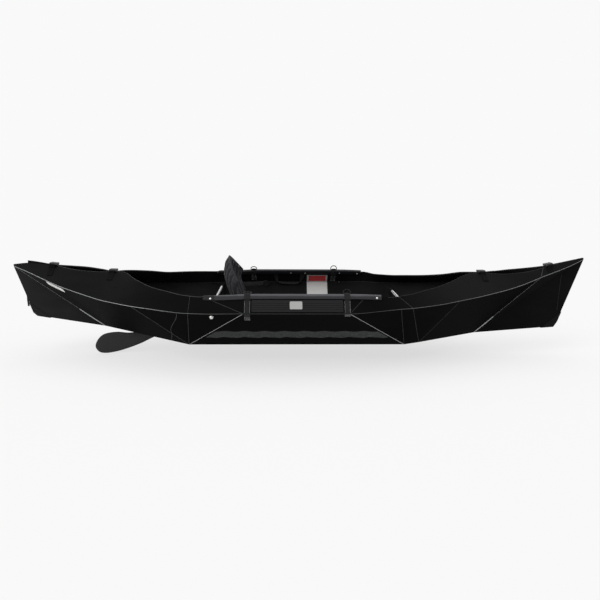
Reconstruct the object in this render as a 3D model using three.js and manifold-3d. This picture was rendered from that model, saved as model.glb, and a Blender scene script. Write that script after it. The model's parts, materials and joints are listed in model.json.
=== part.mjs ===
// Folding kayak: one creased plastic sheet drawn up into a boat, with rails, straps, boards, seat and fin.
// Millimetres, +X to the bow, +Y to port, +Z up, origin in the middle of the flat bottom.
import * as THREE from 'three';
import { mergeVertices } from 'three/addons/utils/BufferGeometryUtils.js';
import Module from 'manifold-3d';

const wasm = await Module();
wasm.setup();

// Driving sizes of the hull
const length = 2743.2;
const beam = 812.8;
const depth = 254;
const floorWidth = 457.2;
const sheet = 5;
const gap = 0.3;
const weld = 0.0001;

// Hull lines: station, knuckle half breadth and height, rim half breadth and height.
// Stations are shares of the half length, breadths of the half beam, heights of the depth.
// The word marks a row where a panel starts or ends, or where a deck strap crosses.
const lineShares = [
  [-1.0000, 0.016, 1.283, 0.016, 1.315],
  [-0.9480, 0.103, 1.205, 0.020, 1.339],
  [-0.8625, 0.263, 1.067, 0.020, 1.307, 'stern tip'],
  [-0.8095, 0.362, 0.988, 0.098, 1.268],
  [-0.7585, 0.450, 0.929, 0.143, 1.236],
  [-0.7075, 0.536, 0.874, 0.111, 1.205],
  [-0.6590, 0.610, 0.823, 0.034, 1.185, 'stern cockpit'],
  [-0.6270, 0.657, 0.803, 0.059, 1.193],
  [-0.5541, 0.755, 0.764, 0.367, 1.110, 'stern diagonal'],
  [-0.4960, 0.824, 0.744, 0.551, 1.039],
  [-0.4375, 0.891, 0.724, 0.711, 1.012],
  [-0.3790, 0.945, 0.709, 0.844, 0.984],
  [-0.3165, 0.979, 0.709, 0.891, 0.972, 'rail stern'],
  [-0.1918, 1.000, 0.720, 0.891, 0.972, 'mid stern'],
  [0.1393, 1.000, 0.720, 0.891, 0.972, 'mid bow'],
  [0.2494, 0.930, 0.745, 0.891, 0.972, 'rail bow'],
  [0.2917, 0.881, 0.752, 0.792, 0.949],
  [0.3463, 0.837, 0.760, 0.674, 0.957, 'bow knee'],
  [0.3937, 0.787, 0.772, 0.561, 0.984],
  [0.4520, 0.726, 0.795, 0.426, 1.020],
  [0.5140, 0.645, 0.831, 0.256, 1.083, 'bow diagonal'],
  [0.5833, 0.541, 0.866, 0.089, 1.173],
  [0.6365, 0.460, 0.902, 0.034, 1.185, 'bow cockpit'],
  [0.6926, 0.376, 0.945, 0.123, 1.185],
  [0.7510, 0.285, 1.004, 0.153, 1.209],
  [0.8093, 0.192, 1.083, 0.118, 1.248],
  [0.8508, 0.123, 1.142, 0.059, 1.291, 'bow crease'],
  [0.8764, 0.103, 1.185, 0.025, 1.323, 'bow tip'],
  [0.9478, 0.054, 1.319, 0.020, 1.409],
  [1.0000, 0.016, 1.441, 0.016, 1.472],
];
// Keel points: where each end fold meets the floor, and the lower corners of the stem and stern
const keelShares = {
  sternFoot: [-0.7094, 0.138],
  sternCorner: [-0.9300, 0.335],
  sternCornerTop: [-0.9430, 0.400],
  bowFoot: [0.6219, 0],
  bowCorner: [0.9110, 0.122],
  bowCornerTop: [0.9230, 0.225],
};
// Corners of the flat floor: station, and breadth as a share of the half floor width
const floorShares = { stern: [-0.3791, 1], bow: [0.3383, 1], bowKnee: [0.3937, 0.832] };

// Rails that slip over the rim, with their end caps
const railWidth = 17;
const railHeight = 25;
const railAboveRim = 14;
const railRound = 6;
const railTurnShares = [0.35, 0.7, 1];
const railCapLength = 34;
const railCapRun = 12;
const railCapSlackShare = 0.667;

// Ribbed stiffener boards on the outside of the mid strakes
const stiffenerEndGap = 5.5;
const stiffenerHeight = 49;
const stiffenerThickness = 6;
const stiffenerFoot = 6;
const grooveDepth = 1.2;
const grooveWidth = 3;
const grooveCount = 4;

// Webbing straps over the rails, and the D-rings on them
const webbing = 1.8;
const railStrapWidth = 26;
const railStrapShares = { stern: -0.1801, bow: 0.1327 };
const railStrapOuterDrop = { stern: 48, bow: 17 };
const railStrapInnerShares = { stern: 0.744, bow: 0.846 };
const strapStep = 6;
const strapCorner = 3;
const ringWire = 3;
const ringWidth = 34;
const ringHeight = 22;
const keeperClearance = 0.5;
const ringShoulderShare = 0.25;
const ringArcSteps = 12;
const ringSides = 8;
const keeperWidth = 16;
const ringAngles = { starboard_stern: -80, starboard_bow: -45, port_stern: -40, port_bow: -10 };

// Deck straps with side-release buckles
const deckStrapWidth = 25;
const deckStrapReach = 78;
const buckleLength = 50;
const buckleWidth = 34;
const buckleHeight = 11;
const buckleWall = 1.8;
const buckleMouth = 3;
const buckleWindowShare = 0.3;
const clipTongue = 22;
const prongWidth = 6;
const deckReachShare = 0.85;
const deckBendRun = 9;
const deckBendShare = 0.6;
const deckClearance = 0.8;
const deckStrapPlaces = ['stern tip', 'stern cockpit', 'bow cockpit', 'bow tip'];

// Floor board and the two folding bulkheads
const board = 5;
const floorBoardInset = 40;
const floorBoardReach = 41;
const floorBoardTaper = 60;
const floorBoardMargin = 8;
// Station as a share of the half length, top of the depth, and middle board of the floor's width there
const bulkheadShares = { rear: [-0.3026, 0.704, 0.897], foot: [0.3485, 0.683, 0.803] };
const wingClearance = 14;
const wingEdgeSteps = 4;
const bulkheadTrim = 10;
const trimSink = 3;
const hingeClearance = 0.6;

// Seat pad and backrest
const seatWidthShare = 0.853;
const seatLength = 370;
const seatHeight = 42;
const seatBackGap = 26;
const seatChannelCount = 4;
const seatGridSteps = [32, 16];
const seatPinchShare = 0.035;
const seatCrownShare = 0.35;
const channelDepth = 5;
const backHeight = 373;
const backHalfWidth = 192;
const backThickness = 22;
const backWrap = 60;
const backWrapShares = [0.08, 0.5];
const backTaperShare = 0.12;
const backFootShare = -0.2231;
const backChannelCount = 7;
const backGrooveShare = 0.7;
const backGridSteps = [42, 14];
const backProfileShares = [0, 0.012, -0.030, -0.122, -0.147, -0.113];
const sideHeightShare = 0.73;
const sideCurvePower = 1.7;
const backEdgePower = 8;
const seatEdgePower = 6;
const seamPower = 8;
const backProbeShare = 0.01;

// Seat side straps with their ladder buckles
const seatStrapWidth = 20;
const ladderLength = 42;
const ladderWidth = 28;
const ladderThickness = 5;
const ladderSlot = 10;
const ladderSide = 4;
const ladderTab = 14;
const seatStrapPlaceShare = 0.64;
const seatAnchorAhead = 146;
const seatAnchorDrop = 12;

// Fin and its shoe under the stern
const finReach = 288;
const finDepth = 124;
const finThickness = 7;
const finRootShare = -0.5191;
const finShoeLength = 128;
const finShoeWidth = 34;
const finShoeHeight = 13;
const finShoeRoof = 3;
const finTongueWidth = 18;
const finTongueHeight = 4;
const finNeck = 6;
const finSink = 2;
// The blade's outline from the front of its root, round the tip and back to the root:
// shares of its reach aft of the shoe's middle and of its depth below the shoe
const finShares = [
  [0.153, 0], [-0.028, 0.203], [-0.261, 0.520], [-0.537, 0.813], [-0.680, 0.927], [-0.816, 1.0],
  [-0.918, 0.994], [-1.0, 0.815], [-0.973, 0.503], [-0.856, 0.231], [-0.647, 0.113], [-0.449, 0.110],
  [-0.215, 0],
];

// Corner caps, the webbing loop inside the port side, and the tail at the stern
const capWall = 2;
const capArm = 62;
const capRise = 52;
const loopWidth = 14;
const loopEndShares = [-0.1013, -0.0204];
const loopBottom = 7;
const loopBelowRail = 2;
const loopShares = [[0, 0], [0.03, 0.55], [0.14, 0.86], [0.4, 1], [0.75, 0.97], [0.95, 0.6], [1, 0.02]];
const tailWidth = 9;
const tailLength = 48;
const tailAboveCap = 5.5;

const halfLength = length / 2;
const halfBeam = beam / 2;
const halfFloor = floorWidth / 2;
const floorStern = floorShares.stern[0] * halfLength;
const floorBow = floorShares.bow[0] * halfLength;
const backFoot = backFootShare * halfLength;
const ply = sheet + gap;

const material = (color, roughness, metalness = 0) =>
  new THREE.MeshStandardMaterial({ color, roughness, metalness });
const sheetBlack = material(0x141415, 0.55);
const railGrey = material(0x46464a, 0.4);
const capBlack = material(0x18181a, 0.5);
const ribbedGrey = material(0x2c2c2f, 0.6);
const webbingGrey = material(0x262627, 0.9);
const buckleBlack = material(0x2a2a2c, 0.45);
const steel = material(0x9a9a9e, 0.3, 1);
const boardBlack = material(0x1b1b1c, 0.6);
const padGrey = material(0x2e2e31, 0.85);
const finGrey = material(0x2a2a2b, 0.6);

const group = new THREE.Group();

function addMesh(name, geometry, finish, parent = group) {
  const mesh = new THREE.Mesh(geometry, finish);
  mesh.name = name;
  parent.add(mesh);
  return mesh;
}

// Small tools for closed shapes

const vec = (x, y, z) => new THREE.Vector3(x, y, z);
const rows = (from, to) => Array.from({ length: to - from + 1 }, (_, i) => from + i);

function meshFrom(points, triangles) {
  const geometry = new THREE.BufferGeometry();
  const flat = points.flatMap((p) => [p.x, p.y, p.z]);
  geometry.setAttribute('position', new THREE.Float32BufferAttribute(flat, 3));
  geometry.setIndex(triangles.flat());
  return geometry;
}

function bare(geometry) {
  const copy = geometry.clone();
  for (const key of Object.keys(copy.attributes)) {
    if (key !== 'position') copy.deleteAttribute(key);
  }
  return mergeVertices(copy, weld);
}

function toManifold(geometry) {
  const merged = bare(geometry);
  return new wasm.Manifold(new wasm.Mesh({
    numProp: 3,
    vertProperties: new Float32Array(merged.attributes.position.array),
    triVerts: new Uint32Array(merged.index.array),
  }));
}

function fromManifold(body) {
  const mesh = body.getMesh();
  const geometry = new THREE.BufferGeometry();
  geometry.setAttribute('position', new THREE.BufferAttribute(new Float32Array(mesh.vertProperties), 3));
  geometry.setIndex(new THREE.BufferAttribute(new Uint32Array(mesh.triVerts), 1));
  return geometry;
}

function joined(...parts) {
  return fromManifold(parts.map(toManifold).reduce((sum, next) => sum.add(next)));
}

function cut(from, ...tools) {
  return fromManifold(tools.map(toManifold).reduce((rest, tool) => rest.subtract(tool), toManifold(from)));
}

// The port piece is the starboard one seen in a mirror, with its faces turned back out.
function mirrored(geometry) {
  const copy = bare(geometry);
  copy.applyMatrix4(new THREE.Matrix4().makeScale(1, -1, 1));
  const index = copy.index.array;
  for (let i = 0; i < index.length; i += 3) [index[i], index[i + 1]] = [index[i + 1], index[i]];
  return copy;
}

function shapeOf(points) {
  return new THREE.Shape(points.map(([a, b]) => new THREE.Vector2(a, b)));
}

// An outline in (y, z) carried along X.
function alongX(shape, start, end) {
  const geometry = new THREE.ExtrudeGeometry(shape, { depth: end - start, bevelEnabled: false });
  const basis = new THREE.Matrix4().makeBasis(vec(0, 1, 0), vec(0, 0, 1), vec(1, 0, 0));
  return geometry.applyMatrix4(basis.setPosition(start, 0, 0));
}

// An outline in (x, z) carried across the boat, from y to -y.
function alongY(shape, halfWidth) {
  const settings = { depth: 2 * halfWidth, bevelEnabled: false, curveSegments: 4 };
  const geometry = new THREE.ExtrudeGeometry(shape, settings);
  const basis = new THREE.Matrix4().makeBasis(vec(1, 0, 0), vec(0, 0, 1), vec(0, -1, 0));
  return geometry.applyMatrix4(basis.setPosition(0, halfWidth, 0));
}

function box(x0, x1, y0, y1, z0, z1) {
  const geometry = new THREE.BoxGeometry(x1 - x0, y1 - y0, z1 - z0);
  return geometry.translate((x0 + x1) / 2, (y0 + y1) / 2, (z0 + z1) / 2);
}

// The path moved to its right by an even distance, with mitred corners.
function offsetPath(path, distance) {
  return path.map(([a, b], i) => {
    const before = path[Math.max(i - 1, 0)];
    const after = path[Math.min(i + 1, path.length - 1)];
    const into = new THREE.Vector2(a - before[0], b - before[1]);
    const out = new THREE.Vector2(after[0] - a, after[1] - b);
    if (i === 0) into.copy(out);
    if (i === path.length - 1) out.copy(into);
    into.normalize();
    out.normalize();
    const normal = new THREE.Vector2(into.y + out.y, -into.x - out.x);
    const stretch = distance / (1 + into.dot(out));
    return [a + normal.x * stretch, b + normal.y * stretch];
  });
}

// A flat band of even thickness on the right side of its path.
function bandOutline(path, thickness) {
  return [...path, ...offsetPath(path, thickness).reverse()];
}

// A closed ring of round wire whose path lies in the plane of x and z.
function wireRing(path, radius, sides) {
  const count = path.length;
  const points = path.flatMap(([a, b], i) => {
    const before = path[(i + count - 1) % count];
    const after = path[(i + 1) % count];
    const into = new THREE.Vector2(a - before[0], b - before[1]).normalize();
    const away = new THREE.Vector2(after[0] - a, after[1] - b).normalize();
    const normal = new THREE.Vector2(into.y + away.y, -into.x - away.x).divideScalar(1 + into.dot(away));
    return rows(0, sides - 1).map((k) => {
      const angle = (2 * Math.PI * k) / sides;
      const side = radius * Math.cos(angle);
      return vec(a + normal.x * side, radius * Math.sin(angle), b + normal.y * side);
    });
  });
  const triangles = rows(0, count - 1).flatMap((i) => rows(0, sides - 1).flatMap((k) => {
    const next = (i + 1) % count;
    const [a, b] = [i * sides + k, i * sides + ((k + 1) % sides)];
    const [c, d] = [next * sides + k, next * sides + ((k + 1) % sides)];
    return [[a, b, d], [a, d, c]];
  }));
  return meshFrom(points, triangles);
}

// A closed form from two grids of points that share their border.
function twoSided(front, back) {
  const across = front[0].length;
  const down = front.length;
  const points = [...front.flat(), ...back.flat()];
  const shared = front.length * across;
  const onBorder = (i, j) => i === 0 || j === 0 || i === down - 1 || j === across - 1;
  const backId = (i, j) => (onBorder(i, j) ? 0 : shared) + i * across + j;
  const frontId = (i, j) => i * across + j;
  return meshFrom(points, rows(0, down - 2).flatMap((i) => rows(0, across - 2).flatMap((j) => {
    const quad = (id) => [id(i, j), id(i, j + 1), id(i + 1, j + 1), id(i + 1, j)];
    const [a, b, c, d] = quad(frontId);
    const [e, f, g, h] = quad(backId);
    const atCorner = (i === 0 && j === across - 2) || (i === down - 2 && j === 0);
    if (atCorner) return [[a, b, d], [b, c, d], [e, h, f], [f, h, g]];
    return [[a, b, c], [a, c, d], [e, g, f], [e, h, g]];
  })));
}

// The hull sheet

const stationOf = (row) => lineShares[row][0] * halfLength;
const rowOf = (mark) => lineShares.findIndex((row) => row.includes(mark));
const sternDiagonalRow = rowOf('stern diagonal');
const railSternRow = rowOf('rail stern');
const midSternRow = rowOf('mid stern');
const midBowRow = rowOf('mid bow');
const railBowRow = rowOf('rail bow');
const bowKneeRow = rowOf('bow knee');
const bowDiagonalRow = rowOf('bow diagonal');
const bowCreaseRow = rowOf('bow crease');
const lastRow = lineShares.length - 1;

function knuckle(row) {
  const [x, breadth, height] = lineShares[row];
  return vec(x * halfLength, -breadth * halfBeam, height * depth);
}

function rim(row) {
  const [x, , , breadth, height] = lineShares[row];
  return vec(x * halfLength, -breadth * halfBeam, height * depth);
}

function keelPoint(name) {
  const [x, height] = keelShares[name];
  return vec(x * halfLength, -ply, height * depth);
}

const [sternChine, bowChine, bowKnee] = Object.values(floorShares).map(([x, breadth]) =>
  vec(x * halfLength, -breadth * halfFloor, 0));

// Each panel is a list of outward triangles between the hull's lines.
function strakeFaces(from, to) {
  return rows(from, to - 1).flatMap((row) => {
    const corners = [knuckle(row), knuckle(row + 1), rim(row + 1), rim(row)];
    const [a, b, c, d] = row < midSternRow ? [...corners.slice(3), ...corners.slice(0, 3)] : corners;
    return [[a, b, c], [a, c, d]];
  });
}

function fanFaces(foot, from, to) {
  return rows(from, to - 1).map((row) => [foot, knuckle(row + 1), knuckle(row)]);
}

function starboardPanels() {
  const sternFoot = keelPoint('sternFoot');
  const bowFoot = keelPoint('bowFoot');
  const sternEdge = ['sternCornerTop', 'sternCorner'].map(keelPoint);
  const bowEdge = ['bowCornerTop', 'bowCorner'].map(keelPoint);
  return {
    strake_stern: strakeFaces(0, railSternRow),
    strake_mid: strakeFaces(railSternRow, railBowRow),
    strake_bow: strakeFaces(railBowRow, lastRow),
    side_stern: [
      ...fanFaces(sternFoot, 0, sternDiagonalRow),
      [sternFoot, sternChine, knuckle(sternDiagonalRow)],
      ...fanFaces(sternChine, sternDiagonalRow, midSternRow),
    ],
    side_mid: [
      [sternChine, bowChine, knuckle(midBowRow)],
      [sternChine, knuckle(midBowRow), knuckle(midSternRow)],
    ],
    side_bow: [
      ...fanFaces(bowChine, midBowRow, bowKneeRow),
      [bowChine, bowKnee, knuckle(bowKneeRow)],
      ...fanFaces(bowKnee, bowKneeRow, bowDiagonalRow),
      [bowKnee, bowFoot, knuckle(bowDiagonalRow)],
      ...fanFaces(bowFoot, bowDiagonalRow, bowCreaseRow),
    ],
    stern_plate: [
      [sternFoot, knuckle(0), sternEdge[0]],
      [sternFoot, sternEdge[0], sternEdge[1]],
    ],
    bow_plate: [
      ...fanFaces(bowFoot, bowCreaseRow, lastRow),
      [bowFoot, bowEdge[0], knuckle(lastRow)],
      [bowFoot, bowEdge[1], bowEdge[0]],
    ],
  };
}

function floorFaces() {
  const right = [keelPoint('sternFoot'), sternChine, bowChine, bowKnee, keelPoint('bowFoot')];
  const left = right.map((p) => vec(p.x, -p.y, p.z));
  return rows(0, right.length - 2).flatMap((i) => [
    [right[i], left[i], left[i + 1]],
    [right[i], left[i + 1], right[i + 1]],
  ]);
}

const keyOf = (p) => [p.x, p.y, p.z].map((n) => n.toFixed(3)).join();
const normalOf = ([a, b, c]) => b.clone().sub(a).cross(c.clone().sub(a)).normalize();

// A little softening keeps the inner step short where faces meet nearly flat.
const softenShare = 0.02;

// The inner face lies one sheet thickness under every face that meets at a point.
function inwardSteps(faces) {
  const sums = new Map();
  for (const face of faces) {
    const n = normalOf(face);
    for (const p of face) {
      const key = keyOf(p);
      if (!sums.has(key)) sums.set(key, { m: new Float64Array(9), v: vec(0, 0, 0) });
      const sum = sums.get(key);
      const list = n.toArray();
      list.forEach((a, i) => list.forEach((b, j) => { sum.m[3 * i + j] += a * b; }));
      sum.v.addScaledVector(n, -sheet);
    }
  }
  const steps = new Map();
  for (const [key, { m, v }] of sums) {
    const matrix = new THREE.Matrix3().set(
      m[0] + softenShare, m[1], m[2], m[3], m[4] + softenShare, m[5], m[6], m[7], m[8] + softenShare);
    steps.set(key, v.clone().applyMatrix3(matrix.invert()));
  }
  return steps;
}

// The least share of a corner's mitre that is kept, so that sharp corners don't reach far
const mitreShare = 0.25;

// A closed panel: outer faces drawn back from the seams, inner faces, and the cut edge between them.
function panelSolid(faces, steps, middleLimit) {
  const points = [];
  const index = new Map();
  const idOf = (p) => {
    const key = keyOf(p);
    if (!index.has(key)) {
      index.set(key, points.length);
      points.push(p.clone());
    }
    return index.get(key);
  };
  const triangles = faces.map((face) => face.map(idOf));
  const edges = new Map();
  triangles.forEach((t, f) => t.forEach((a, k) => edges.set(`${a},${t[(k + 1) % 3]}`, f)));
  const rimEdges = [...edges].filter(([key]) => !edges.has(key.split(',').reverse().join()));
  const drawBack = points.map(() => []);
  for (const [key, f] of rimEdges) {
    const [a, b] = key.split(',').map(Number);
    const along = points[b].clone().sub(points[a]).normalize();
    const inward = normalOf(faces[f]).cross(along).normalize();
    drawBack[a].push(inward);
    drawBack[b].push(inward);
  }
  const forward = rimEdges.map(([key]) => {
    const [a, b] = key.split(',').map((i) => points[i]);
    return a.x === b.x ? a.z < b.z : a.x < b.x;
  });
  const inner = points.map((p) => p.clone().add(steps.get(keyOf(p))));
  points.forEach((p, i) => {
    if (drawBack[i].length !== 2) return;
    const [one, two] = drawBack[i];
    const shift = one.clone().add(two).multiplyScalar(gap / 2 / Math.max(1 + one.dot(two), mitreShare));
    p.add(shift);
    inner[i].add(shift);
  });
  if (middleLimit) {
    for (const p of inner) p.y = Math.min(p.y, -gap / 2);
  }
  const n = points.length;
  // Two panels that meet cut their shared wall along the same diagonal.
  const walls = rimEdges.flatMap(([key], i) => {
    const [a, b] = key.split(',').map(Number);
    if (forward[i]) return [[b, a, n + a], [b, n + a, n + b]];
    return [[b, a, n + b], [a, n + a, n + b]];
  });
  const inside = triangles.map(([a, b, c]) => [n + c, n + b, n + a]);
  return meshFrom([...points, ...inner], [...triangles, ...inside, ...walls]);
}

// The inside half breadth between the side panels at a station and height
function insideHalf(x, z) {
  const { side_stern: stern, side_mid: middle, side_bow: bow } = starboardPanels();
  const spot = vec(x, z, 0);
  const found = [...stern, ...middle, ...bow].find((face) => {
    return new THREE.Triangle(...face.map((p) => vec(p.x, p.z, 0))).containsPoint(spot);
  });
  const normal = normalOf(found);
  const plane = new THREE.Plane().setFromNormalAndCoplanarPoint(normal, found[0]);
  const outside = (plane.constant + normal.x * x + normal.z * z) / normal.y;
  return outside - sheet / Math.abs(normal.y);
}

function addHull() {
  const panels = starboardPanels();
  const floor = floorFaces();
  const steps = inwardSteps([...Object.values(panels).flat(), ...floor]);
  for (const p of floor.flat()) {
    if (p.y > 0) {
      const twin = steps.get(keyOf(vec(p.x, -p.y, p.z)));
      steps.set(keyOf(p), vec(twin.x, -twin.y, twin.z));
    }
  }
  addMesh('floor_panel', panelSolid(floor, steps, false), sheetBlack);
  for (const [name, faces] of Object.entries(panels)) {
    const solid = panelSolid(faces, steps, true);
    addMesh(`starboard_${name}`, solid, sheetBlack);
    addMesh(`port_${name}`, mirrored(solid), sheetBlack);
  }
}

// Rails, stiffeners and straps share the section amidships.

const railStern = stationOf(railSternRow);
const railBow = stationOf(railBowRow);
const midKnuckle = knuckle(midSternRow);
const midRim = rim(midSternRow);
// Unit directions in (y, z) of the starboard strake: up its face, and out of it
const up = new THREE.Vector2(midRim.y - midKnuckle.y, midRim.z - midKnuckle.z).normalize();
const out = new THREE.Vector2(-up.y, up.x);
const strakeHeight = Math.hypot(midRim.y - midKnuckle.y, midRim.z - midKnuckle.z);
// A place by its distance up from the rim and out from the strake's outer face
const onStrake = (rise, stand) => [
  midRim.y + up.x * rise + out.x * stand,
  midRim.z + up.y * rise + out.y * stand,
];

// Unit directions of the side panel below it: down its face, and out of it
const sideDown = new THREE.Vector2(sternChine.y - midKnuckle.y, sternChine.z - midKnuckle.z).normalize();
const sideOut = new THREE.Vector2(sideDown.y, -sideDown.x);
// A place by its distance down from the knuckle and out from the side's outer face
const onSide = (drop, stand) => [
  midKnuckle.y + sideDown.x * drop + sideOut.x * stand,
  midKnuckle.z + sideDown.y * drop + sideOut.y * stand,
];

function railSection(clearance, slackShare) {
  const reach = railWidth / 2 - sheet / 2;
  const slack = slackShare * reach;
  const low = railAboveRim - railHeight;
  const shape = new THREE.Shape();
  const corner = (rise, stand) => shape.lineTo(...onStrake(rise, stand));
  shape.moveTo(...onStrake(low, reach));
  corner(low, clearance);
  corner(clearance, clearance);
  corner(clearance, -sheet - clearance);
  corner(low, -sheet - clearance - slack);
  corner(low, -sheet - reach);
  corner(railAboveRim - railRound, -sheet - reach);
  for (const turn of railTurnShares) {
    const angle = (turn * Math.PI) / 2;
    corner(railAboveRim - railRound + railRound * Math.sin(angle),
      -sheet - reach + railRound * (1 - Math.cos(angle)));
  }
  for (const turn of railTurnShares.toReversed().concat(0)) {
    const angle = (turn * Math.PI) / 2;
    corner(railAboveRim - railRound + railRound * Math.sin(angle),
      reach - railRound * (1 - Math.cos(angle)));
  }
  return shape;
}

function addRails() {
  const ends = { stern: railStern + railCapRun, bow: railBow - railCapRun };
  const rail = alongX(railSection(gap, 0), ends.stern + railCapLength + gap, ends.bow - railCapLength - gap);
  addMesh('starboard_rail', rail, railGrey);
  addMesh('port_rail', mirrored(rail), railGrey);
  const caps = {
    stern: alongX(railSection(2 * gap, railCapSlackShare), ends.stern, ends.stern + railCapLength),
    bow: alongX(railSection(2 * gap, railCapSlackShare), ends.bow - railCapLength, ends.bow),
  };
  for (const [end, cap] of Object.entries(caps)) {
    addMesh(`starboard_${end}_rail_cap`, cap, capBlack);
    addMesh(`port_${end}_rail_cap`, mirrored(cap), capBlack);
  }
}

const strapStation = (end) => railStrapShares[end] * halfLength;

function addStiffeners() {
  const foot = stiffenerFoot - strakeHeight;
  const pitch = stiffenerHeight / (grooveCount + 1);
  const points = [[foot, gap], [foot, gap + stiffenerThickness]];
  for (const i of rows(1, grooveCount)) {
    const middle = foot + i * pitch;
    points.push([middle - grooveWidth / 2, gap + stiffenerThickness]);
    points.push([middle - grooveWidth / 2, gap + stiffenerThickness - grooveDepth]);
    points.push([middle + grooveWidth / 2, gap + stiffenerThickness - grooveDepth]);
    points.push([middle + grooveWidth / 2, gap + stiffenerThickness]);
  }
  points.push([foot + stiffenerHeight, gap + stiffenerThickness], [foot + stiffenerHeight, gap]);
  const outline = points.map(([rise, stand]) => onStrake(rise, stand)).reverse();
  const margin = railStrapWidth / 2 + stiffenerEndGap;
  const ribbed = alongX(shapeOf(outline), strapStation('stern') + margin, strapStation('bow') - margin);
  addMesh('starboard_stiffener', ribbed, ribbedGrey);
  addMesh('port_stiffener', mirrored(ribbed), ribbedGrey);
}

// A webbing strap wraps each rail and carries a D-ring in a small stitched loop on top.
const keeperRise = railAboveRim + gap + webbing + keeperClearance + ringWire / 2;
const ringCentre = onStrake(keeperRise, -sheet / 2);

function railStrapPath(end) {
  const reach = railWidth / 2 - sheet / 2 + gap;
  const low = railAboveRim - railHeight - gap;
  const top = railAboveRim + gap;
  const skin = 2 * gap;
  const fold = skin * Math.tan(0.5 * Math.acos(up.dot(sideDown.clone().negate())));
  const knee = onStrake(-strakeHeight - fold, skin);
  return [
    onStrake(-railStrapInnerShares[end] * strakeHeight, -sheet - skin),
    onStrake(low - strapStep, -sheet - skin),
    onStrake(low, -sheet - reach),
    onStrake(top - strapCorner, -sheet - reach),
    onStrake(top, -sheet - reach + strapCorner),
    onStrake(top, reach - strapCorner),
    onStrake(top - strapCorner, reach),
    onStrake(low, reach),
    onStrake(low - strapStep, skin),
    knee,
    onSide(railStrapOuterDrop[end], skin),
  ];
}

function keeperCylinder(radius, width) {
  const geometry = new THREE.CylinderGeometry(radius, radius, width, 2 * ringSides);
  return geometry.rotateZ(Math.PI / 2).translate(0, ringCentre[0], ringCentre[1]);
}

function addRailStraps() {
  const holeRadius = ringWire / 2 + keeperClearance;
  for (const end of Object.keys(railStrapShares)) {
    const band = alongX(shapeOf(bandOutline(railStrapPath(end), webbing)),
      -railStrapWidth / 2, railStrapWidth / 2);
    const loop = keeperCylinder(holeRadius + webbing, keeperWidth);
    const hole = keeperCylinder(holeRadius, 2 * railStrapWidth);
    const strap = cut(joined(band, loop), hole).translate(strapStation(end), 0, 0);
    addMesh(`starboard_${end}_rail_strap`, strap, webbingGrey);
    addMesh(`port_${end}_rail_strap`, mirrored(strap), webbingGrey);
  }
}

function ringPath() {
  const half = (ringWidth - ringWire) / 2;
  const shoulder = ringHeight * ringShoulderShare;
  const crown = ringHeight - ringWire / 2 - shoulder;
  const bow = rows(0, ringArcSteps).map((i) => {
    const angle = (Math.PI * i) / ringArcSteps;
    return [half * Math.cos(angle), shoulder + crown * Math.sin(angle)];
  });
  return [[-half, 0], [half, 0], ...bow];
}

function addRings() {
  const ring = wireRing(ringPath(), ringWire / 2, ringSides);
  for (const [place, tilt] of Object.entries(ringAngles)) {
    const [side, end] = place.split('_');
    const across = side === 'port' ? -1 : 1;
    const mesh = addMesh(`${place}_d_ring`, ring.clone(), steel);
    mesh.position.set(strapStation(end), across * ringCentre[0], ringCentre[1]);
    mesh.rotation.x = across * THREE.MathUtils.degToRad(tilt);
  }
}

// The strake's outer face at a station, from the rim down to the knuckle: the cut through its two triangles
function strakeSection(x) {
  const row = Math.min(rows(0, lastRow - 1).findLast((i) => stationOf(i) <= x), lastRow - 1);
  const share = (x - stationOf(row)) / (stationOf(row + 1) - stationOf(row));
  const [low, high] = row < midSternRow ? [rim(row), knuckle(row + 1)] : [knuckle(row), rim(row + 1)];
  const top = rim(row).lerp(rim(row + 1), share);
  const foot = knuckle(row).lerp(knuckle(row + 1), share);
  return [top, low.lerp(high, share), foot].map((p) => new THREE.Vector2(p.y, p.z));
}

// A closed ribbon across X: one path in (y, z) for each station, with its thickness on its right side.
function ribbon(stations, paths, thickness) {
  const outlines = paths.map((path) => [...path, ...offsetPath(path, thickness)]);
  const half = paths[0].length;
  const points = outlines.flatMap((outline, i) => outline.map(([y, z]) => vec(stations[i], y, z)));
  const id = (i, k) => i * 2 * half + k;
  const ring = [...rows(0, half - 1), ...rows(half, 2 * half - 1).reverse()];
  const walls = rows(0, stations.length - 2).flatMap((i) => ring.flatMap((k, n) => {
    const next = ring[(n + 1) % ring.length];
    return [[id(i, k), id(i + 1, next), id(i, next)], [id(i, k), id(i + 1, k), id(i + 1, next)]];
  }));
  const caps = [0, stations.length - 1].flatMap((i) => rows(0, half - 2).flatMap((k) => {
    const [a, b, c, d] = [id(i, k), id(i, k + 1), id(i, half + k + 1), id(i, half + k)];
    return i === 0 ? [[a, b, c], [a, c, d]] : [[a, c, b], [a, d, c]];
  }));
  return meshFrom(points, [...walls, ...caps]);
}

// Deck straps close the end decks: a socket on the starboard side, a clip on the port side.
// The buckle lies along the rims, whose slope it shares.
function deckSeat(row) {
  const middle = rim(row);
  const ends = [-1, 1].map((way) => strakeSection(middle.x + (way * buckleWidth) / 2)[0].y);
  const slope = (ends[1] - ends[0]) / buckleWidth;
  const lift = Math.max(middle.z - (ends[0] + ends[1]) / 2, 0);
  return { x: middle.x, z: (ends[0] + ends[1]) / 2 + lift + gap, slope };
}

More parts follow.
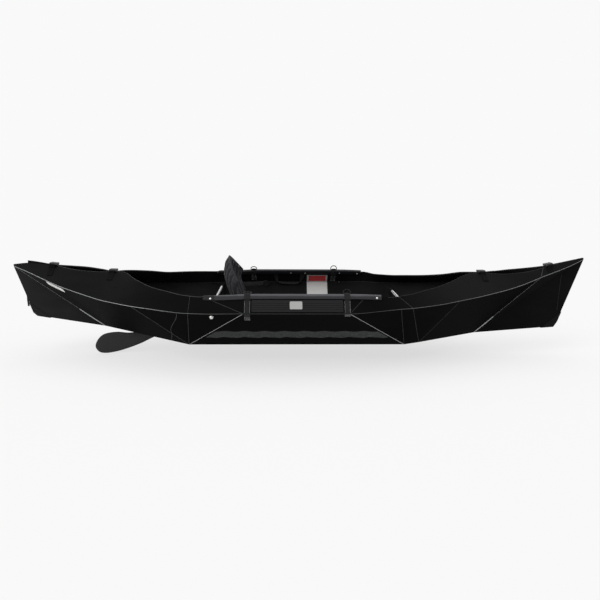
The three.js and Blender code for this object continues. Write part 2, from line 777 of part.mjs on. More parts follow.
// From inside the buckle, out over the rim's edge and down the strake
function deckWebbingPath(seat, x) {
  const level = seat.z + seat.slope * (x - seat.x) + buckleHeight / 2 + webbing / 2;
  const outline = strakeSection(x);
  const total = outline[0].distanceTo(outline[1]) + outline[1].distanceTo(outline[2]);
  const reach = Math.min(deckStrapReach, deckReachShare * total);
  const at = (run) => {
    const first = outline[0].distanceTo(outline[1]);
    const [a, b, start] = run < first ? [outline[0], outline[1], 0] : [outline[1], outline[2], first];
    const way = b.clone().sub(a).normalize();
    const point = a.clone().addScaledVector(way, run - start);
    return [point.x + way.y * deckClearance, point.y - way.x * deckClearance];
  };
  const outlet = buckleLength / 2;
  const bend = Math.min(Math.max(outlet + outline[0].x, 0) + deckBendRun, deckBendShare * reach);
  const inside = [[-outlet + buckleWall, level], [-outlet - webbing, level]];
  return [...inside, at(bend), at((bend + reach) / 2), at(reach)];
}

function buckleSocket() {
  const half = buckleWidth / 2;
  const shell = box(-half, half, -buckleLength / 2, buckleMouth, 0, buckleHeight);
  const back = buckleMouth - clipTongue;
  const inner = half - buckleWall;
  const roof = buckleHeight - buckleWall;
  const cavity = box(-inner, inner, back - 2 * gap, buckleMouth + half, buckleWall, roof);
  const window = box(-2 * half, 2 * half, back + buckleWall, buckleMouth - clipTongue * buckleWindowShare,
    2 * buckleWall, buckleHeight - 2 * buckleWall);
  return cut(shell, cavity, window);
}

// The clip is drawn on the starboard side too, and mirrored with its webbing.
function buckleClip() {
  const half = buckleWidth / 2;
  const start = -buckleMouth - gap;
  const tip = start + clipTongue - 2 * gap;
  const prongOut = half - buckleWall - 2 * gap;
  const base = box(-half, half, -buckleLength / 2, start, 0, buckleHeight);
  const low = buckleWall + gap;
  const high = buckleHeight - buckleWall - gap;
  const overlap = start - buckleWall;
  const prong = box(prongOut - prongWidth, prongOut, overlap, tip, low, high);
  const guide = box(-prongWidth / 2, prongWidth / 2, overlap, tip, low, high);
  return joined(base, prong, prong.clone().translate(prongWidth - 2 * prongOut, 0, 0), guide);
}

function addDeckBuckles() {
  for (const place of deckStrapPlaces) {
    const seat = deckSeat(rowOf(place));
    const stations = [-1, -0.5, 0, 0.5, 1].map((share) => seat.x + (share * deckStrapWidth) / 2);
    const strap = ribbon(stations, stations.map((x) => deckWebbingPath(seat, x)), webbing);
    const lie = (part) => part.rotateY(-Math.atan(seat.slope)).translate(seat.x, 0, seat.z);
    const name = place.replace(' ', '_');
    addMesh(`${name}_buckle_socket`, joined(lie(buckleSocket()), strap), buckleBlack);
    addMesh(`${name}_buckle_clip`, mirrored(joined(lie(buckleClip()), strap)), buckleBlack);
  }
}

// Floor board and bulkheads
const floorTop = sheet + gap;
const boardTop = floorTop + board;
const foldFoot = boardTop + hingeClearance;

function chineHalfAt(x) {
  const share = Math.max(0, (x - floorBow) / (bowKnee.x - floorBow));
  return halfFloor - share * (halfFloor + bowKnee.y);
}

function addFloorBoard() {
  const stern = floorStern + floorBoardInset;
  const bow = floorBow + floorBoardReach;
  const wide = halfFloor - floorBoardMargin;
  const narrow = chineHalfAt(bow) - floorBoardMargin - sheet;
  const outline = [
    [stern, -wide], [bow - floorBoardTaper, -wide], [bow, -narrow],
    [bow, narrow], [bow - floorBoardTaper, wide], [stern, wide],
  ];
  const geometry = new THREE.ExtrudeGeometry(shapeOf(outline), { depth: board, bevelEnabled: false });
  addMesh('floor_board', geometry.translate(0, 0, floorTop), boardBlack);
}

// Each bulkhead has a middle board and two wings that fold onto its far face and clear the hull's sides.
function addBulkhead(name) {
  const [station, headShare, coreShare] = bulkheadShares[name];
  const place = station * halfLength;
  const head = headShare * depth;
  const core = coreShare * chineHalfAt(place);
  const bar = [place - bulkheadTrim / 2, place + bulkheadTrim / 2];
  const plate = [place - board / 2, place + board / 2];
  const trimFoot = head - bulkheadTrim;
  const middle = joined(
    box(...plate, -core, core, foldFoot, trimFoot + trimSink),
    box(...bar, -core, core, trimFoot, head));
  addMesh(`${name}_bulkhead`, middle, boardBlack);
  const seam = core + hingeClearance;
  const outerAt = (z) => Math.min(...bar.map((x) => insideHalf(x, z))) - wingClearance;
  const outline = (low, high) => {
    const edge = rows(0, wingEdgeSteps).map((i) => low + ((high - low) * i) / wingEdgeSteps);
    return shapeOf([[-seam, low], [-seam, high], ...edge.reverse().map((z) => [-outerAt(z), z])]);
  };
  const wing = joined(
    alongX(outline(foldFoot, trimFoot + trimSink), ...plate),
    alongX(outline(trimFoot, head), ...bar));
  addMesh(`starboard_${name}_wing`, wing, boardBlack);
  addMesh(`port_${name}_wing`, mirrored(wing), boardBlack);
}

// How deep a sewn line lies at a place from -1 to 1, where that many quilted channels fill the width.
function channelAt(channels, place) {
  return Math.abs(Math.cos((Math.PI * channels * (place + 1)) / 2)) ** seamPower;
}

// A cushion's share of its full thickness at a place from -1 to 1 both ways: none at its edges
function roundedEdge(u, v, power) {
  return Math.sqrt((1 - Math.abs(u) ** power) * (1 - Math.abs(v) ** power));
}

// Seat pad: crowned, with its sides drawn in between the corners and sewn channels across it.
function addSeatPad() {
  const half = seatWidthShare * halfFloor;
  const middle = backFoot + seatBackGap + seatLength / 2;
  const grid = (top) => rows(0, seatGridSteps[0]).map((i) => rows(0, seatGridSteps[1]).map((j) => {
    const u = (2 * j) / seatGridSteps[1] - 1;
    const v = (2 * i) / seatGridSteps[0] - 1;
    const drawn = 1 - seatPinchShare * (1 - u * u);
    const narrowed = 1 - seatPinchShare * (1 - v * v);
    const edge = roundedEdge(u, v, seatEdgePower);
    const groove = channelAt(seatChannelCount, v) * channelDepth;
    const crown = (seatHeight / 2 - channelDepth) * edge * (1 + seatCrownShare * (1 - u * u));
    const height = top ? crown + (channelDepth - groove) * edge : -(seatHeight / 2) * edge ** 0.5;
    return vec(middle + (v * drawn * seatLength) / 2, u * narrowed * half,
      boardTop + gap + seatHeight / 2 + height);
  }));
  addMesh('seat_pad', twoSided(grid(false), grid(true)), padGrey);
}

// Backrest: a padded shell that leans back and wraps forward at its sides, with upright channels.
function backCentre(s, t) {
  const steps = backProfileShares.length - 1;
  const profile = backProfileShares.map((x, i) => vec(x * backHeight, 0, (i * backHeight) / steps));
  const spine = new THREE.CatmullRomCurve3(profile).getPoint(t);
  const wrap = backWrap * THREE.MathUtils.smoothstep(t, ...backWrapShares) * s * s;
  const side = 1 - (1 - sideHeightShare) * Math.abs(s) ** sideCurvePower * t;
  return vec(backFoot + spine.x + wrap, backHalfWidth * s * (1 - backTaperShare * (1 - t)),
    boardTop + gap + spine.z * side);
}

function addBackrest() {
  const grid = (sign) => rows(0, backGridSteps[1]).map((i) => rows(0, backGridSteps[0]).map((j) => {
    const s = (2 * j) / backGridSteps[0] - 1;
    const t = i / backGridSteps[1];
    const across = backCentre(s + backProbeShare, t).sub(backCentre(s - backProbeShare, t));
    const below = backCentre(s, Math.max(t - backProbeShare, 0));
    const upward = backCentre(s, Math.min(t + backProbeShare, 1)).sub(below);
    const normal = across.cross(upward).normalize();
    const edge = roundedEdge(s, 2 * t - 1, backEdgePower);
    const groove = channelAt(backChannelCount, s) * channelDepth * backGrooveShare;
    const half = (backThickness / 2 - (sign > 0 ? groove : 0)) * edge;
    return backCentre(s, t).addScaledVector(normal, sign * half);
  }));
  addMesh('backrest', twoSided(grid(1), grid(-1)), padGrey);
}

// Seat straps run from the backrest's edges to ladder buckles anchored at the sides.
function seatStrapLine() {
  const edge = backCentre(-1, seatStrapPlaceShare);
  const anchor = vec(backFoot + seatAnchorAhead, ...onSide(seatAnchorDrop, -sheet));
  const along = anchor.clone().sub(edge).normalize();
  const flat = vec(0, 0, 1).addScaledVector(along, -along.z).normalize();
  const face = along.clone().cross(flat);
  const wall = vec(0, sideOut.x, sideOut.y);
  const corner = (seatStrapWidth * Math.abs(flat.dot(wall)) + webbing * Math.abs(face.dot(wall))) / 2;
  const run = edge.distanceTo(anchor) - (corner + gap) / along.dot(wall);
  return { edge, run, frame: new THREE.Matrix4().makeBasis(along, flat, face) };
}

function addSeatStraps() {
  const { edge, run, frame } = seatStrapLine();
  const start = 2 * gap;
  const buckleEnd = run - ladderTab;
  const buckleStart = buckleEnd - ladderLength;
  const half = seatStrapWidth / 2;
  const skin = webbing / 2;
  const strap = box(start, buckleStart - gap, -half, half, -skin, skin);
  const bar = (ladderLength - 2 * ladderSlot) / 3;
  const wide = ladderWidth / 2;
  const deep = ladderThickness / 2;
  const plate = box(buckleStart, buckleEnd, -wide, wide, -deep, deep);
  const slots = [0, 1].map((i) => {
    const near = buckleStart + bar + i * (bar + ladderSlot);
    return box(near, near + ladderSlot, ladderSide - wide, wide - ladderSide, -2 * deep, 2 * deep);
  });
  const tab = box(buckleEnd - bar / 2, run, -half, half, -skin, skin);
  const buckle = joined(cut(plate, ...slots), tab);
  const pieces = [['seat_strap', strap, webbingGrey], ['ladder_buckle', buckle, buckleBlack]];
  for (const [name, part, finish] of pieces) {
    const placed = bare(part).applyMatrix4(frame).translate(edge.x, edge.y, edge.z);
    addMesh(`starboard_${name}`, placed, finish);
    addMesh(`port_${name}`, mirrored(placed), finish);
  }
}

// The fin hangs from a tongue that slides in a shoe under the rising stern floor.
function addFin() {
  const foot = keelPoint('sternFoot');
  const slope = Math.atan2(foot.z, floorStern - foot.x);
  const root = finRootShare * halfLength;
  const under = ((floorStern - root) * foot.z) / (floorStern - foot.x);
  const mount = new THREE.Group();
  mount.position.set(root, 0, under);
  mount.rotation.y = slope;
  group.add(mount);
  const half = finShoeWidth / 2;
  const tongueTop = -finShoeRoof;
  const tongueFoot = tongueTop - finTongueHeight;
  const tongueWide = finTongueWidth / 2;
  const slotWide = tongueWide + 2 * gap;
  const neckWide = finNeck / 2 + 2 * gap;
  const shoe = cut(
    box(-finShoeLength / 2, finShoeLength / 2, -half, half, -finShoeHeight, -gap),
    box(-finShoeLength, finShoeLength, -slotWide, slotWide, tongueFoot - 2 * gap, tongueTop),
    box(-finShoeLength, finShoeLength, -neckWide, neckWide, -2 * finShoeHeight, tongueTop));
  addMesh('fin_shoe', shoe, finGrey, mount);
  const blade = new THREE.Shape();
  const at = ([x, z]) => [x * finReach, -finShoeHeight - gap - z * finDepth];
  blade.moveTo(...at(finShares[0]));
  blade.splineThru(finShares.slice(1).map((p) => new THREE.Vector2(...at(p))));
  blade.closePath();
  const tongueHalf = finShoeLength / 2 - gap;
  const plate = alongY(blade, finThickness / 2);
  const neckHead = tongueFoot + finTongueHeight / 2;
  const neck = box(-tongueHalf, tongueHalf, -finNeck / 2, finNeck / 2, -finShoeHeight - finSink, neckHead);
  const tongue = box(-tongueHalf, tongueHalf, -tongueWide, tongueWide, tongueFoot, tongueTop - 2 * gap);
  addMesh('fin', joined(plate, neck, tongue), finGrey, mount);
}

// Caps over the lower corners of the stem and stern: a folded strip with a cheek on each side
function addCornerCap(end, tip) {
  const [foot, corner, top] = ['Foot', 'Corner', 'CornerTop'].map((spot) => keelPoint(end + spot));
  const flat = (p) => new THREE.Vector2(p.x, p.z);
  const along = (from, to, run) => flat(from).add(flat(to).sub(flat(from)).setLength(run));
  const path = [along(corner, foot, capArm), flat(corner), flat(top), along(top, tip, capRise)];
  const points = path.map((p) => [p.x, p.y]);
  const edge = offsetPath(end === 'bow' ? points : points.reverse(), gap);
  const inner = ply + 2 * gap;
  const cheekHalf = inner + capWall;
  const strip = alongY(shapeOf(bandOutline(edge, capWall)), cheekHalf);
  const cheeks = cut(
    alongY(shapeOf(offsetPath(edge, capWall / 2)), cheekHalf),
    alongY(shapeOf(edge), inner));
  addMesh(`${end}_corner_cap`, joined(strip, cheeks), capBlack);
}

function addCornerCaps() {
  addCornerCap('stern', knuckle(0));
  addCornerCap('bow', knuckle(lastRow));
}

// A flat webbing loop lies against the port strake inside the cockpit.
function addSideLoop() {
  const [left, right] = loopEndShares.map((share) => share * halfLength);
  const wide = right - left - 2 * loopWidth;
  const loopTop = railHeight - railAboveRim + loopBelowRail;
  const drop = strakeHeight - loopTop - loopBottom - loopWidth;
  const path = loopShares.map(([x, fall]) => [left + loopWidth + x * wide, -loopTop - fall * drop]);
  const outline = shapeOf(bandOutline(path, loopWidth));
  const flat = new THREE.ExtrudeGeometry(outline, { depth: webbing, bevelEnabled: false });
  const stand = onStrake(0, -sheet - 2 * gap - webbing);
  const basis = new THREE.Matrix4().makeBasis(vec(1, 0, 0), vec(0, up.x, up.y), vec(0, out.x, out.y));
  const placed = flat.applyMatrix4(basis.setPosition(0, ...stand));
  addMesh('port_side_loop', mirrored(placed), webbingGrey);
}

// A short webbing tail lies along the stern edge.
function addSternTail() {
  const tip = knuckle(0);
  const corner = keelPoint('sternCornerTop');
  const rise = new THREE.Vector2(tip.x - corner.x, tip.z - corner.z).normalize();
  const at = (run) => [corner.x + rise.x * run, corner.z + rise.y * run];
  const foot = capRise + tailAboveCap;
  const edge = offsetPath([at(foot + tailLength), at(foot)], gap);
  addMesh('stern_strap_tail', alongY(shapeOf(bandOutline(edge, tailWidth)), webbing / 2), webbingGrey);
}

addHull();
addRails();
addStiffeners();
addRailStraps();
addRings();
addDeckBuckles();
addFloorBoard();
addBulkhead('rear');
addBulkhead('foot');
addSeatPad();
addBackrest();
addSeatStraps();
addFin();
addCornerCaps();
addSideLoop();
addSternTail();

export default group;
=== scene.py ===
"""Folding kayak: the looks of the boat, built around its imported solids.

Metres, +X to the bow, +Y to port, +Z up. Each piece is a surface worked out from two parameters.
"""

import json
from math import cos, pi, radians, sin

import bmesh
import bpy
import numpy as np
from mathutils import Matrix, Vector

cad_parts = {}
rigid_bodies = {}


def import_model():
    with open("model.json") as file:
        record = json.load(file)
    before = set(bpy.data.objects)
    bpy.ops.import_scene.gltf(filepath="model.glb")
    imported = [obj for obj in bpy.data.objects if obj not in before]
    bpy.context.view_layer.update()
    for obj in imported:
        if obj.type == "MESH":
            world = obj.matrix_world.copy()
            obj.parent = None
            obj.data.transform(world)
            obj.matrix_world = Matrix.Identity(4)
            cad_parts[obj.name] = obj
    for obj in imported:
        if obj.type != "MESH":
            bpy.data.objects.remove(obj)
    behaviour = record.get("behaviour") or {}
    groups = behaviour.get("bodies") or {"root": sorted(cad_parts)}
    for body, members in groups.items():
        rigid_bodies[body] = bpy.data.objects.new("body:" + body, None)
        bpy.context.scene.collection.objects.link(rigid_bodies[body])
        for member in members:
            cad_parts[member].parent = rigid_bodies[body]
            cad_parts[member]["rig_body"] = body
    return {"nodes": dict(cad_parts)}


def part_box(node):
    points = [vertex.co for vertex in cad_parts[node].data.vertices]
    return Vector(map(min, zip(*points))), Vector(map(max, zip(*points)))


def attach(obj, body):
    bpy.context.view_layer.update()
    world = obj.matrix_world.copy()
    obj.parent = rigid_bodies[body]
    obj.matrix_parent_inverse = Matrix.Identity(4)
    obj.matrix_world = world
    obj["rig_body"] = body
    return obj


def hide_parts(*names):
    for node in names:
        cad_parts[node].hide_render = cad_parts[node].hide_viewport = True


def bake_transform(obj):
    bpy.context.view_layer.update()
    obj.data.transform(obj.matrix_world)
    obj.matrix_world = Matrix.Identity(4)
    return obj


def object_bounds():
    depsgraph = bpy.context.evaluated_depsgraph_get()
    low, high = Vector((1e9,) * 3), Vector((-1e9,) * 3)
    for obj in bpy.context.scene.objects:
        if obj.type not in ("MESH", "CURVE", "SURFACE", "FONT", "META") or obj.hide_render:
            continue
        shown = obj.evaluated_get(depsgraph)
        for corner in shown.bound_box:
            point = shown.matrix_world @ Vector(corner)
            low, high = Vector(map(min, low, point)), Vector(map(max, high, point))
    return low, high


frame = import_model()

bl_info = {
    "name": "Folding kayak",
    "version": (1, 0, 0),
    "blender": (4, 5, 0),
    "location": "View3D > Sidebar > Kayak",
    "description": "Builds a creased folding kayak piece by piece around its packed solids",
    "category": "Object",
}

CAD_LOW, CAD_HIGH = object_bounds()
MM = 0.001

# The step that slopes are taken over, and how square a swept section is: a cord's and a strap's
STEP, ROUND, STRAP = 0.4 * MM, 1.0, 0.4

# Hull lines as shares: station, knuckle half breadth and height, rim half breadth and height
LINES = np.array([
    (-1.0000, 0.016, 1.283, 0.016, 1.315), (-0.9480, 0.103, 1.205, 0.020, 1.339),
    (-0.8625, 0.263, 1.067, 0.020, 1.307), (-0.8095, 0.362, 0.988, 0.098, 1.268),
    (-0.7585, 0.450, 0.929, 0.143, 1.236), (-0.7075, 0.536, 0.874, 0.111, 1.205),
    (-0.6590, 0.610, 0.823, 0.034, 1.185), (-0.6270, 0.657, 0.803, 0.059, 1.193),
    (-0.5541, 0.755, 0.764, 0.367, 1.110), (-0.4960, 0.824, 0.744, 0.551, 1.039),
    (-0.4375, 0.891, 0.724, 0.711, 1.012), (-0.3790, 0.945, 0.709, 0.844, 0.984),
    (-0.3165, 0.979, 0.709, 0.891, 0.972), (-0.1918, 1.000, 0.720, 0.891, 0.972),
    (0.1393, 1.000, 0.720, 0.891, 0.972), (0.2494, 0.930, 0.745, 0.891, 0.972),
    (0.2917, 0.881, 0.752, 0.792, 0.949), (0.3463, 0.837, 0.760, 0.674, 0.957),
    (0.3937, 0.787, 0.772, 0.561, 0.984), (0.4520, 0.726, 0.795, 0.426, 1.020),
    (0.5140, 0.645, 0.831, 0.256, 1.083), (0.5833, 0.541, 0.866, 0.089, 1.173),
    (0.6365, 0.460, 0.902, 0.034, 1.185), (0.6926, 0.376, 0.945, 0.123, 1.185),
    (0.7510, 0.285, 1.004, 0.153, 1.209), (0.8093, 0.192, 1.083, 0.118, 1.248),
    (0.8508, 0.123, 1.142, 0.059, 1.291), (0.8764, 0.103, 1.185, 0.025, 1.323),
    (0.9478, 0.054, 1.319, 0.020, 1.409), (1.0000, 0.016, 1.441, 0.016, 1.472),
])
STERN_DIAGONAL, MID_STERN, MID_BOW, BOW_KNEE, BOW_DIAGONAL = 8, 13, 14, 17, 20
BOW_CREASE_TOP = 0.8370
DECK_ROWS = {"stern_tip": 2, "stern_cockpit": 6, "bow_cockpit": 22, "bow_tip": 27}
KEEL = {
    "stern_foot": (-0.6944, 0.131), "stern_corner": (-0.9300, 0.335), "stern_corner_top": (-0.9430, 0.400),
    "bow_foot": (0.6219, 0.0), "bow_corner": (0.9110, 0.122), "bow_corner_top": (0.9230, 0.225),
}
FLOOR = {"stern": (-0.3791, 1.0), "bow": (0.3383, 1.0), "knee": (0.3937, 0.832)}
STRAP_STATIONS = {"stern": -0.1801, "bow": 0.1327}
STRAP_OUTER_DROP = {"stern": 0.048, "bow": 0.017}
STRAP_INNER_SHARE = {"stern": 0.744, "bow": 0.846}
RING_TILTS = {"starboard_stern": -80, "starboard_bow": -45, "port_stern": -40, "port_bow": -10}
SIDES = {"starboard": 1.0, "port": -1.0}

# The room left between pieces and along the sheet's seams
GAP = 0.0003

# Studio: how much of the ground glows, the even fill, and each lamp's strength, direction and spread in degrees
GROUND_GLOW, FILL = 0.7, 0.55
LAMPS = {"key lamp": (0.9, (-0.55, -0.62, 0.75), 40), "top lamp": (0.82, (0.1, 0.1, 1.0), 70)}

# Camera: focal length and frame in pixels, pitch down, yaw and roll in degrees, and place
FOCAL, FRAME_SIZE, CAMERA_TURN = 638.49, 600.0, (11.33, 1.87, 0.45)
CAMERA_PLACE = (-0.10887, -3.05251, 0.77364)

# Painted light on each part of the sheet: lighter towards the ends, most at the stern, where light falls from
# that side, and lifted inside the hull, which lies in shade. Share at the stern, how far aft half of it lies and
# over what length it comes in, share at the bow, all over, and the part's gloss
PAINTED_LIGHT_SHARES = {
    "sheet": (0.0, 1.0, 0.7, 0.0, 0.10, 0.015), "strakes": (0.22, 1.05, 0.7, 0.15, 0.06, 0.015),
    "sides": (0.62, 1.07, 0.5, 0.0, 0.05, 0.006), "stern": (0.55, 1.02, 0.75, 0.0, 0.1, 0.03),
    "inside": (1.5, 0.80, 0.7, 1.5, 0.24, 0.015),
}

# The speckled band along the side: lower and upper edge, and the lines it ends on as a station and a lean
BAND_LOW, BAND_HIGH, BAND_AFT, BAND_FORE = 0.0445, 0.0815, (-0.505, 1.45), (0.452, 1.52)

# How whitened the knuckle line is at each station: partly worn plastic, partly a painted highlight
KNUCKLE_WEAR_AND_HIGHLIGHT = ([-1.37, -0.75, -0.66, -0.56, -0.44, -0.3, 0.3, 0.48, 0.75, 0.88, 1.1, 1.37],
                [0.9, 0.85, 0.6, 0.32, 0.22, 0.1, 0.08, 0.22, 0.28, 0.42, 0.5, 0.45])

# Rails and the rings on their straps, and the rails' rivets: station, radius and the faces they stand on
RAIL_WIDTH, RAIL_HEIGHT, RAIL_ABOVE = 0.017, 0.025, 0.014
RING_WIRE, RING_WIDTH, RING_HEIGHT = 0.003, 0.034, 0.022
KEEPER_WIDTH, KEEPER_ROOM = 0.016, 0.0005
NOSE_REACH, NOSE_START, LIP_RISE = 0.023, -0.4216, -0.0187
RIVETS = ((-0.4049, 0.0046, (1, -1)), (0.3104, 0.0046, (1, -1)), (-0.0474, 0.0036, (-1,)), (0.0283, 0.0036, (-1,)),
          (0.2151, 0.0036, (-1,)))

# Side-release buckles on the deck straps
BUCKLE_LENGTH, BUCKLE_WIDTH, BUCKLE_HEIGHT, BUCKLE_WALL = 0.050, 0.034, 0.011, 0.0018
BUCKLE_MOUTH, TONGUE = 0.003, 0.022
DECK_REACH = 0.078

# The deck webbing's stitched box on its grid: each row's two ends, and the place its normal is taken from
DECK_STITCHES = (
    ((1, -12), (1, -2), (1, -12)), ((1, -12), (5, -12), (1, -12)), ((1, -2), (5, -2), (1, -2)),
    ((5, -12), (5, -2), (5, -12)), ((1, -12), (5, -2), (3, -6)), ((5, -12), (1, -2), (3, -6)),
)

# Bulkheads: station, head as a share of the depth, half width of the middle board, the bar's reach and radius
BULKHEADS = {"rear": (-0.3026, 0.704, 0.2047, 0.288, 0.0058), "foot": (0.3485, 0.683, 0.1777, 0.207, 0.0056)}

# The pad's half width, length, height, channels and middle, and the backrest's foot, height, half width, thickness
# and channels; how far their sides draw in, how the backrest's head falls, and its spine's lean up its height
PAD_WIDTH, PAD_LENGTH, PAD_HEIGHT, PAD_CHANNELS, PAD_MIDDLE = 0.1950, 0.370, 0.042, 4, -0.0950
BACK_FOOT, BACK_HEIGHT, BACK_HALF, BACK_THICK, BACK_CHANNELS = -0.3060, 0.373, 0.192, 0.022, 11
PAD_DRAWN, BACK_DRAWN, BACK_FALL, BACK_FALL_POWER = 0.03, 0.12, 0.27, 1.7
BACK_SPINE = (0.0, 0.012, -0.028, -0.108, -0.150, -0.116)
BOARD_TOP = 0.0103

# Swelling: the size of the even faces, the pressure and the frames
VOXEL, PRESSURE, SWELL_FRAMES = 0.0055, 4.0, 20

# Seat straps and ladder buckles
STRAP_START, STRAP_END = (-0.29488, -0.18421, 0.20783), (-0.19556, -0.33902, 0.18569)
LADDER_LENGTH, LADDER_WIDTH, SEAT_WEBBING = 0.042, 0.028, 0.020

# Fin: its root's station, reach, depth, and the blade's outline as shares of those
FIN_ROOT, FIN_REACH, FIN_DEPTH, FIN_THICK, FIN_BORDER = -0.5191, 0.288, 0.124, 0.0078, 0.0085
SHOE_HEIGHT, SHOE_LENGTH = 0.013, 0.128
BLADE = np.array([
    (0.153, 0), (-0.028, 0.203), (-0.261, 0.520), (-0.537, 0.813), (-0.680, 0.927), (-0.816, 1.0),
    (-0.918, 0.994), (-1.0, 0.815), (-0.973, 0.503), (-0.856, 0.231), (-0.647, 0.113), (-0.449, 0.110), (-0.215, 0),
])

# Webbing loop: station, drop and stand-off. Tail: its own points
LOOP = ((-0.1275, 0.012, 0), (-0.1270, 0.038, 0.001), (-0.1215, 0.056, 0.008), (-0.1030, 0.064, 0.013),
        (-0.0550, 0.0705, 0.013), (-0.0150, 0.0690, 0.013), (0.0030, 0.060, 0.010), (0.0120, 0.040, 0.002),
        (0.0135, 0.012, 0))
TAIL = ((-1.3205, 0, 0.1960), (-1.3185, 0, 0.1760), (-1.3190, 0, 0.1600), (-1.3172, 0, 0.1300))

# Stud: station and drop. Plates: station, length, drop or rise, and height. Flap: station and length
STUD, STERN_PLATE, BOARD_PLATE = (-0.3996, 0.0215), (-1.1970, 0.089, 0.007, 0.032), (-0.0655, 0.0535, 0.0185, 0.036)
INNER_PLATE, FLAP = (0.040, 0.111, 0.0225, 0.140), (-1.305, 0.118)


# Sizes and colours that a user would change

def size_of(name, text, default, low=0.0001, high=5.0):
    return bpy.props.FloatProperty(
        name=name, description=text, default=default, min=low, max=high, unit="LENGTH", precision=4)


def linear(code):
    """The linear colour of a display colour: (c / 12.92) at the dark end, else ((c + 0.055) / 1.055) ** 2.4."""
    shown = [int(code[i:i + 2], 16) / 255 for i in (0, 2, 4)]
    return tuple(c / 12.92 if c < 0.04045 else ((c + 0.055) / 1.055) ** 2.4 for c in shown)


def colour_of(name, text, code):
    return bpy.props.FloatVectorProperty(
        name=name, description=text, default=linear(code), size=3, min=0.0, max=1.0, subtype="COLOR")


class KayakSizes(bpy.types.PropertyGroup):
    """Sizes of the boat, in metres."""

    length: size_of("Length", "Length from stern tip to bow tip", CAD_HIGH.x - CAD_LOW.x)
    beam: size_of("Beam", "Breadth across the knuckle lines amidships", 0.8128)
    depth: size_of("Depth", "Height that the lines' height shares are taken of", 0.254)
    floor_width: size_of("Floor width", "Breadth of the flat floor", 0.4572)
    sheet: size_of("Sheet", "Thickness of the creased sheet and the boards", 0.005)
    crease: size_of("Crease", "Radius of the whitened bead along a fold", 0.0011)
    webbing: size_of("Webbing", "Thickness of the webbing", 0.0018)
    deck_webbing: size_of("Deck webbing", "Width of the straps over the end decks", 0.025)
    rail_webbing: size_of("Rail webbing", "Width of the straps over the rails", 0.026)
    stitch: size_of("Stitch", "Length of one stitch", 0.0034)
    thread: size_of("Thread", "Radius of the sewing thread", 0.0005)
    piping: size_of("Piping", "Radius of the piping round the cushions", 0.0032)


class KayakColours(bpy.types.PropertyGroup):
    """Colours of the boat's finishes."""

    hull: colour_of("Hull", "Creased plastic sheet", "080808")
    # The grey of the painted light on the sheet, towards its ends and inside the hull
    painted_light_grey: colour_of("Haze", "Dust and wear that greys the sheet towards its ends", "323233")
    # Partly the plastic's whitening at folds, partly a painted highlight along them
    crease: colour_of("Crease", "Plastic whitened by folding", "b4b6b5")
    stripe: colour_of("Stripe", "Speckled band along the side", "434444")
    rail: colour_of("Rail", "Side rails", "212124")
    # Painted highlight on the rails' upper part; their rubbed spots are lightened from it too
    rail_lit_and_rubbed: colour_of("Rail top", "The rubbed upper part of the rails", "4d4d51")
    cap: colour_of("Cap", "Rail end caps", "1b1b1d")
    corner: colour_of("Corner", "Caps on the lower corners of stem and stern", "121213")
    stiffener: colour_of("Stiffener", "Ribbed boards under the rails", "131315")
    webbing: colour_of("Webbing", "Woven straps", "1d1d1e")
    deck_webbing: colour_of("Deck webbing", "Woven straps over the end decks", "111112")
    thread: colour_of("Thread", "Sewing thread", "c0c0c4")
    dark_thread: colour_of("Dark thread", "Sewing thread on the end decks", "121213")
    buckle: colour_of("Buckle", "Moulded buckles", "1e1e20")
    steel: colour_of("Steel", "Rings", "222224")
    rivet: colour_of("Rivet", "Rivets and studs", "e2e2e0")
    board: colour_of("Board", "Floor board and bulkheads", "141415")
    # Painted highlight: the bars' pale colour stands for light along the bulkheads' top edges
    bar: colour_of("Bar", "Stiff bars on the bulkheads' heads", "dcdddb")
    pad: colour_of("Pad", "Seat fabric", "2d2d30")
    fin: colour_of("Fin", "Moulded fin and its shoe", "222223")
    plate: colour_of("Plate", "Plain plate inside the hull", "c8c8c6")
    label: colour_of("Label", "Plain plates at the stern", "f2f2f0")
    board_plate: colour_of("Board plate", "Plain plate on the ribbed board", "a6a6a4")
    band: colour_of("Band", "Band across the plate inside the hull", "cc2b2e")
    ground: colour_of("Ground", "Studio floor and backdrop", "f9f9f9")


# Shader maths

class Level:
    """A number on a shader socket, so that a mask is written as sums and products."""

    def __init__(self, finish, socket):
        self.finish, self.socket = finish, socket

    def maths(self, operation, *others, clamp=False):
        made = self.finish.node("ShaderNodeMath", {"operation": operation, "use_clamp": clamp},
                                dict(enumerate((self, *others))))
        return Level(self.finish, made.outputs[0])

    def __add__(self, other):
        return self.maths("ADD", other)

    def __sub__(self, other):
        return self.maths("SUBTRACT", other)

    def __mul__(self, other):
        return self.maths("MULTIPLY", other)

    def __truediv__(self, other):
        return self.maths("DIVIDE", other)

    def __pow__(self, other):
        return self.maths("POWER", other)

    def __rsub__(self, other):
        return (self * -1.0) + other

    __radd__ = __add__
    __rmul__ = __mul__

    def above(self, edge, soft):
        """0 below the edge, 1 above it, over a soft step."""
        return ((self - edge) / soft).maths("ADD", 0.5, clamp=True)

    def wave(self, pitch):
        """A sine of that pitch, from -1 to 1."""
        return (self * (2 * pi / pitch)).maths("SINE")


